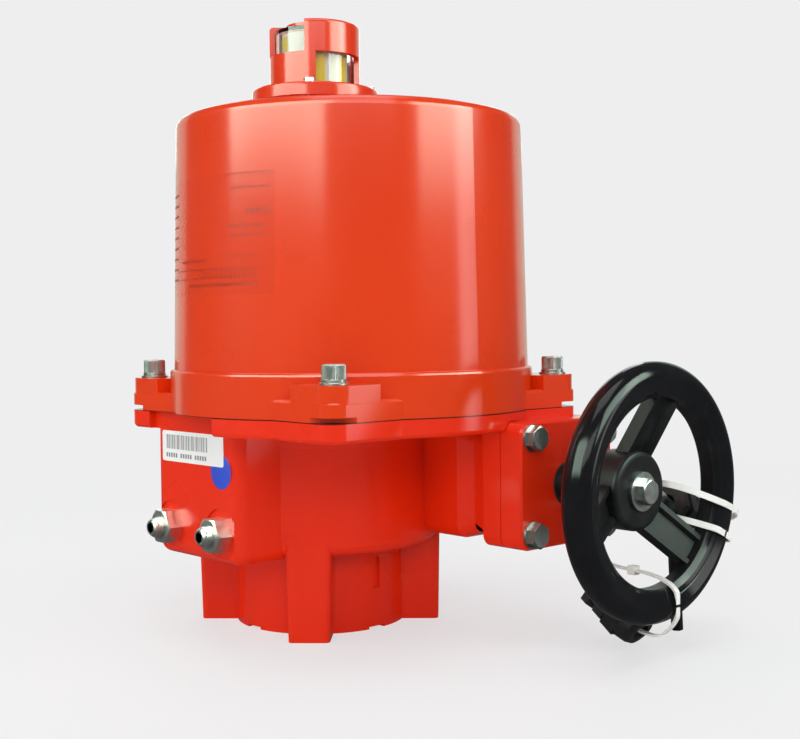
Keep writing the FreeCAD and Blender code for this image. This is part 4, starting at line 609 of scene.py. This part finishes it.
# %% [markdown]
# The cover is a cone that narrows a little upward, so the radius for the film is worked out from the height.
# The print is made of rules, which are long thin sheets, of a row of ticks between two of them, and of rows of
# dashes where lines of words would stand.

# %% Clear film on the cover
film_turns, film_heights = (-121.0, -63.0), (203.0, 270.0)       # degrees round the cover, and mm
foot_r, foot_z, cone_in, cone_h, clear = 108.5, 160.0, 3.2, 144.0, 0.05


def cover_radius(height):
    return foot_r - cone_in * (height - foot_z) / cone_h + clear


def over_film(height):
    return cover_radius(height) + film_t + air


rule_h, tick_h, tick_wide, dash_gap, dash_t = 0.45, (212.9, 217.4), 0.25, 0.5, 0.035
film_rules = (((-81.0, -67.0), 224.0), ((-112.0, -67.0), 217.5), ((-112.0, -67.0), 212.4),
              ((-81.0, -63.5), 269.0))
film_rows = ([(-78.0, -66.0, 261.0, 1.2), (-73.0, -65.0, 247.0, 3.0), (-80.0, -66.0, 240.0, 1.4),
              (-79.0, -66.0, 235.0, 1.0), (-106.0, -90.0, 222.0, 1.2), (-100.0, -70.0, 208.0, 1.6)]
             + [(-120.5, -113.0, 262.0 - 6.2 * i, 1.3) for i in range(9)])


def film_on_cover():
    mesh = bmesh.new()
    bent_sheet(mesh, cover_x, cover_radius, film_turns, film_heights, film_t, 40, 3)
    finished_piece("clear_film", mesh, "casing", "clear_film")
    mesh = bmesh.new()
    for turns, low in film_rules:
        bent_sheet(mesh, cover_x, over_film, turns, (low, low + rule_h), print_t, 30, 1)
    for i in range(14):
        turn = -93.0 + 1.75 * i
        bent_sheet(mesh, cover_x, over_film, (turn, turn + tick_wide), tick_h, print_t, 1, 2)
    for first, last, low, tall in film_rows:
        turn, i = first, 0
        while turn < last:
            width = 0.7 + 0.45 * (i * i % 3)
            bent_sheet(mesh, cover_x, over_film, (turn, turn + width), (low, low + tall), dash_t, 2, 1)
            turn, i = turn + width + dash_gap, i + 1
    finished_piece("film_lines", mesh, "casing", "print_red")


# %% [markdown]
# The indicator's drum carries coloured strips that show through the windows: yellow while the valve is at rest,
# and dark red when the drum has turned by a quarter. They ride on the output, as the drum does.

# %% Coloured stickers on the indicator's drum
drum_r, strip_t, low_window, high_window = 20.53, 0.1, (334.5, 353.5), (357.3, 365.5)
drum_colours = (
    ("drum_yellow", "sticker_yellow", ((-39.0, -22.0), (6.0, 28.0), (141.0, 158.0), (186.0, 208.0)),
     ((-131.0, -92.0), (49.0, 88.0))),
    ("drum_dark", "sticker_dark", ((52.0, 128.0), (-128.0, -52.0)), ((-38.0, 38.0), (142.0, 218.0))),
)


def drum_stickers():
    """Yellow strips stand behind the windows at rest, and dark red ones a quarter turn further."""
    for name, finish, low_turns, high_turns in drum_colours:
        mesh = bmesh.new()
        for heights, strips in ((low_window, low_turns), (high_window, high_turns)):
            for turns in strips:
                bent_sheet(mesh, 0.0, lambda h: drum_r, turns, heights, strip_t, 12, 2)
        finished_piece(name, mesh, "output_drive", finish)


label_and_dot()
film_on_cover()
drum_stickers()

# %% [markdown]
# ## Threads of the cable glands
#
# The two plastic glands that hang on the wheel have a thread between their lock nut and their hexagonal body. The
# CAD pieces keep their shape, and a wound ridge is fitted over each plain stem.

# %% Make the gland threads
gland_length, gland_stem_r, gland_pitch, gland_ridge = 36.5, 9.8, 1.2, 0.45
gland_thread_low, gland_thread_high = 4.9, 9.7
low_gland_end, low_gland_way = Vector((199.0, 70.25, 10.0)), Vector((44.0, 0.0, -34.0)).normalized()
high_lean = math.radians(23.8)
high_gland_way = Vector((0.0, math.cos(high_lean), -math.sin(high_lean)))
high_gland_end = (Vector((184.5, 61.25, 91.8)) + high_gland_way * 91.5 +
                  Vector((0.0, math.sin(high_lean), math.cos(high_lean))) * (12.6 - 3.64))


def gland_threads():
    mesh = bmesh.new()
    thread(mesh, gland_stem_r + gland_ridge, gland_ridge, gland_thread_low, gland_thread_high, gland_pitch, 32)
    places = []
    for end, way in ((low_gland_end, low_gland_way), (high_gland_end, high_gland_way)):
        stand = way.to_track_quat("Z", "Y").to_matrix().to_4x4()
        places.append(Matrix.Translation((end - way * gland_length) * MM) @ stand)
    set_at(mesh, places)
    return finished_piece("gland_threads", mesh, "worm_drive", slot_of["cable_gland_low"])


gland_threads()

# %% [markdown]
# ## Nylon ties
#
# Three ties hold the loose parts on the wheel. Each is a flat ribbon that runs along a closed, smooth curve in
# a plane through the wheel. The curve passes near a few corners, given as a distance along the wheel's axis and
# a distance out from it. Every piece between two corners is a Bezier curve whose handles follow the way round.

# %% Make the ties
tie_w, tie_t, tie_lift, tie_head, most_x = 3.6, 1.2, 2.6, 5.0, 224.2
rim_bite = [(217.45, 53.4), (221.05, 56.8), (221.05, 68.3)]
# Lean below the level in degrees, offsets across and along the wheel, corners, and the place of the head.
tie_loops = (
    (90.0, 0.0, 9.0, [(166.6, 47.7), (180.8, 48.7)] + rim_bite + [(207.3, 79.2)], (194.0, 46.7)),
    (23.8, 12.6, 0.0, [(187.1, 47.0), (198.1, 27.5)] + rim_bite[1:] + [(199.6, 90.5), (187.1, 95.8)],
     (189.1, 35.5)),
    (27.0, 0.0, 0.0, [(195.95, 45.0), (199.95, 45.0)] + rim_bite
     + [(218.0, 70.45), (207.0, 70.45), (195.95, 51.0)], (191.5, 48.0)),
)


def smooth_loop(corners, lift, steps=10):
    """A closed curve round the corners, which keeps outside of them by lift."""
    corners = [Vector((x, out, 0.0)) for x, out in corners]
    count, middle = len(corners), sum(corners, Vector()) / len(corners)
    knots, ways = [], []
    for i, here in enumerate(corners):
        arrive, leave = here - corners[i - 1], corners[(i + 1) % count] - here
        way = (arrive.normalized() + leave.normalized()).normalized()
        aside = Vector((way.y, -way.x, 0.0))
        knots.append(here + aside * math.copysign(lift, aside.dot(here - middle)))
        ways.append(way)
    path = []
    for i in range(count):
        start, end = knots[i], knots[(i + 1) % count]
        reach = (end - start).length / 3
        after = ways[(i + 1) % count]
        path += interpolate_bezier(start, start + ways[i] * reach, end - after * reach, end, steps)[:-1]
    return path


def tie_ribbon(mesh, lean, aside, beside, corners, head_at):
    """One tie in a plane that leans below the level by an angle, with its head, a small cube, on the band."""
    outward = Vector((0.0, math.cos(math.radians(lean)), -math.sin(math.radians(lean))))
    across = Vector((0.0, -outward.z, outward.y))
    foot = Vector((0.0, wheel_axis.y / MM + beside, wheel_axis.z / MM)) + across * aside
    path = smooth_loop(corners, tie_lift)
    sections = []
    for i, point in enumerate(path):
        way = (path[(i + 1) % len(path)] - path[i - 1]).normalized()
        normal = Vector((way.y, -way.x, 0.0))
        ring = []
        for out, wide in ((-1, -1), (-1, 1), (1, 1), (1, -1)):
            flat = point + normal * (out * tie_t / 2)
            level = foot + Vector((min(flat.x, most_x), 0.0, 0.0))
            ring.append(mesh.verts.new((level + outward * flat.y + across * (wide * tie_w / 2)) * MM))
        sections.append(ring)
    for ring, after in zip(sections, sections[1:] + sections[:1]):
        for i in range(4):
            mesh.faces.new((ring[i], ring[(i + 1) % 4], after[(i + 1) % 4], after[i]))
    head = foot + outward * head_at[1] + Vector((head_at[0], 0.0, 0.0))
    stand = Matrix.Translation(head * MM) @ outward.to_track_quat("Z", "Y").to_matrix().to_4x4()
    bmesh.ops.create_cube(mesh, size=tie_head * MM, matrix=stand)


def nylon_ties():
    mesh = bmesh.new()
    for loop in tie_loops:
        tie_ribbon(mesh, *loop)
    return finished_piece("smooth_ties", mesh, "worm_drive", slot_of["nylon_ties"], "nylon_ties",
                          sharp=50.0)


nylon_ties()

# %% [markdown]
# ## A smooth skin for the wheel's rim
#
# The rim of the CAD wheel is turned from a few straight facets. A finer ring, spun from two quarter arcs with
# many steps, fits over its bead and takes the long, unbroken highlights of polished plastic.

# %% Make the skin of the rim
rim_r, rim_front, rim_w, bead_r = 72.3, 223.0, 18.0, 8.1
arc_steps, rim_steps, rim_tuck = 14, 144, (0.4, 0.6)


def quarter_arc(radius, height, start):
    angles = [math.radians(start + 90.0 * i / arc_steps) for i in range(arc_steps + 1)]
    return [(radius + bead_r * math.cos(a), height + bead_r * math.sin(a)) for a in angles]


def rim_skin():
    mesh = bmesh.new()
    inside = rim_r - bead_r
    outline = quarter_arc(inside, rim_front - rim_w + bead_r, -90.0)
    outline += quarter_arc(inside, rim_front - bead_r, 0.0)
    hidden_r, hidden_in = inside - rim_tuck[0], rim_tuck[1]
    outline += [(hidden_r, rim_front - hidden_in), (hidden_r, rim_front - rim_w + hidden_in)]
    spun(mesh, outline, rim_steps, closed=True)
    turn = Matrix.Rotation(math.radians(90), 4, "Y")
    set_at(mesh, [Matrix.Translation(wheel_axis) @ turn])
    return finished_piece("rim_skin", mesh, "worm_drive", slot_of["handwheel"])


rim_skin()

# %% [markdown]
# ## The studio
#
# The picture was taken from a little below the height of the cover's middle, almost level, with a normal lens.
# The camera's place and turn were worked out from the corners of the castings and are written down as angles.

# %% Camera
view_turn = math.radians(-39.0276)       # where the camera stands, round the output axis, from +X
view_distance, view_height = 806.8994 * MM, 185.1687 * MM
look_aside, look_down, lean = math.radians(-3.6921), math.radians(2.0072), math.radians(-0.6010)
lens_in_pixels, picture_width, sensor_width = 1259.5509, 800.0, 36.0


def make_camera():
    data = bpy.data.cameras.new("camera")
    camera = bpy.data.objects.new("camera", data)
    bpy.context.scene.collection.objects.link(camera)
    turn = view_turn + math.pi + look_aside
    forward = Vector((math.cos(turn) * math.cos(look_down), math.sin(turn) * math.cos(look_down),
                      -math.sin(look_down)))
    right = Vector((math.sin(turn), -math.cos(turn), 0.0))
    up = right.cross(forward)
    leaned_right = right * math.cos(lean) + up * math.sin(lean)
    leaned_up = -right * math.sin(lean) + up * math.cos(lean)
    axes = Matrix((leaned_right, leaned_up, -forward)).transposed()
    place = Vector((view_distance * math.cos(view_turn), view_distance * math.sin(view_turn), view_height))
    camera.matrix_world = Matrix.Translation(place) @ axes.to_4x4()
    data.sensor_width = sensor_width
    data.lens = lens_in_pixels / picture_width * sensor_width
    bpy.context.scene.camera = camera
    return camera


camera = make_camera()
print("camera at", [round(v, 3) for v in camera.matrix_world.translation], "lens", round(camera.data.lens, 1))

# %% [markdown]
# ## Light
#
# Soft boxes stand to the left and right, behind and above, and one near the camera opens the shadows. The
# narrow one on the right draws an upright highlight on the round cover, and the left one only fills. Wide boxes
# high on both sides are only mirrored: three of them, each a little higher than the last, make a highlight that
# fades downward. Two more behind catch the edges of the cover. Their light is a little green, which keeps the
# highlights on orange paint from turning pink. The world adds an even, pale glow. The camera and glass see it as
# a pale wall, while paint and metal mirror a dimmer room, which keeps their colours deep.

# %% Lamps and world
aim = Vector((0.03, 0.0, 0.18))          # what every lamp faces


def soft_box(name, away_degrees, height, distance, width, tall, power):
    """A rectangular lamp that faces the actuator. away_degrees is counted from the camera, to its right."""
    data = bpy.data.lights.new(name, "AREA")
    data.shape = "RECTANGLE"
    data.size, data.size_y = width, tall
    data.energy = power
    lamp = bpy.data.objects.new(name, data)
    bpy.context.scene.collection.objects.link(lamp)
    angle = view_turn + math.radians(away_degrees)
    lamp.location = aim + Vector((math.cos(angle) * distance, math.sin(angle) * distance, height))
    lamp.rotation_euler = (aim - lamp.location).to_track_quat("-Z", "Y").to_euler()
    return lamp


sheen_tint = (0.76, 1.0, 0.84)


def only_mirrored(lamp):
    """Keeps a lamp for highlights alone: it lights no surface and is not seen."""
    lamp.visible_diffuse = False
    lamp.visible_camera = False
    lamp.visible_transmission = False
    lamp.data.color = sheen_tint


# Name, degrees from the camera, height, distance, width and height of the box in metres, and power in watts.
lamps = (
    ("box_left", -80.0, 0.25, 1.3, 0.60, 1.5, 6.0),
    ("box_right", 73.0, 0.30, 1.3, 0.24, 1.5, 4.0),
    ("box_front", 8.0, 0.95, 1.9, 1.4, 0.7, 12.0),
    ("box_back", 180.0, 0.70, 1.6, 1.2, 0.8, 5.0),
    ("box_top", 0.0, 1.5, 0.25, 1.0, 1.0, 9.5),
)
boxes = {lamp[0]: soft_box(*lamp) for lamp in lamps}
boxes["box_left"].visible_glossy = False

sheen_low, sheen_step, edge_away = 0.61, 0.055, 152.0
for i in range(3):
    lift = sheen_low + sheen_step * i
    only_mirrored(soft_box("sheen_left_%d" % i, -49.0, lift + 0.02, 1.25, 1.75, 0.75, 16.0))
    only_mirrored(soft_box("sheen_right_%d" % i, 63.0, lift, 1.25, 1.10, 0.75, 10.0))
for side in (-1, 1):
    only_mirrored(soft_box("edge_%d" % side, side * edge_away, 0.05, 1.4, 1.1, 1.3, 3.0))

world_glow, mirror_glow = 0.55, 0.09
backdrop_grey = (0.855, 0.855, 0.865)


def make_world():
    """Lights the actuator evenly, looks like a pale wall to the camera, and shows a dimmer room to mirrors."""
    world = bpy.data.worlds.new("studio")
    world.use_nodes = True
    nodes, links = world.node_tree.nodes, world.node_tree.links
    nodes.clear()
    path = nodes.new("ShaderNodeLightPath")
    layers = (((1.0, 1.0, 1.0), world_glow, None), ((1.0, 0.97, 0.96), mirror_glow, "Is Glossy Ray"),
              (backdrop_grey, 1.0, "Is Transmission Ray"), (backdrop_grey, 1.0, "Is Camera Ray"))
    total = None
    for colour, strength, ray in layers:
        glow = nodes.new("ShaderNodeBackground")
        glow.inputs["Color"].default_value = (*colour, 1.0)
        glow.inputs["Strength"].default_value = strength
        if total is None:
            total = glow.outputs["Background"]
            continue
        mix = nodes.new("ShaderNodeMixShader")
        links.new(path.outputs[ray], mix.inputs["Fac"])
        links.new(total, mix.inputs[1])
        links.new(glow.outputs["Background"], mix.inputs[2])
        total = mix.outputs["Shader"]
    output = nodes.new("ShaderNodeOutputWorld")
    links.new(total, output.inputs["Surface"])
    bpy.context.scene.world = world


make_world()

# %% [markdown]
# ## Floor
#
# A wide, pale, plain floor carries the actuator and takes its shadow. It is round and large enough that its far
# edge melts into the backdrop: for camera rays part of its colour is the backdrop's own, and more of it further
# out. Paint and metal mirror the floor as dimly as they mirror the room.

# %% Floor
floor_r, floor_sides = 6.0, 96
melt_near, melt_far, melt_least = 0.25, 1.1, 0.70        # metres from the axis, and the backdrop's least share


def make_floor():
    mesh = bmesh.new()
    bmesh.ops.create_circle(mesh, cap_ends=True, cap_tris=False, segments=floor_sides, radius=floor_r)
    data = bpy.data.meshes.new("floor")
    mesh.to_mesh(data)
    mesh.free()
    floor = bpy.data.objects.new("floor", data)
    bpy.context.scene.collection.objects.link(floor)
    material, shader = plain_finish("floor_pale", (0.80, 0.80, 0.81), 0.7)
    grey = mix_colours(material, noise(material, 3.0, 2.0), (0.79, 0.79, 0.80), (0.81, 0.81, 0.82))
    link(material, grey, shader.inputs["Base Color"])
    glow = add_node(material, "ShaderNodeEmission")
    glow.inputs["Color"].default_value = (*backdrop_grey, 1.0)
    glow.inputs["Strength"].default_value = 1.0
    mix = add_node(material, "ShaderNodeMixShader")
    path = add_node(material, "ShaderNodeLightPath")
    away = add_node(material, "ShaderNodeVectorMath", operation="LENGTH")
    link(material, object_place(material), away.inputs[0])
    melted = from_to(material, away.outputs["Value"], melt_least, 1.0, melt_near, melt_far)
    link(material, combined(material, "MULTIPLY", path.outputs["Is Camera Ray"], melted), mix.inputs["Fac"])
    link(material, shader.outputs["BSDF"], mix.inputs[1])
    link(material, glow.outputs["Emission"], mix.inputs[2])
    dim = add_node(material, "ShaderNodeEmission")
    dim.inputs["Strength"].default_value = mirror_glow
    mirrored = add_node(material, "ShaderNodeMixShader")
    link(material, path.outputs["Is Glossy Ray"], mirrored.inputs["Fac"])
    link(material, mix.outputs["Shader"], mirrored.inputs[1])
    link(material, dim.outputs["Emission"], mirrored.inputs[2])
    output = next(node for node in material.node_tree.nodes if node.type == "OUTPUT_MATERIAL")
    link(material, mirrored.outputs["Shader"], output.inputs["Surface"])
    floor.data.materials.append(material)
    return floor


make_floor()
bpy.context.scene.view_settings.view_transform = "Standard"
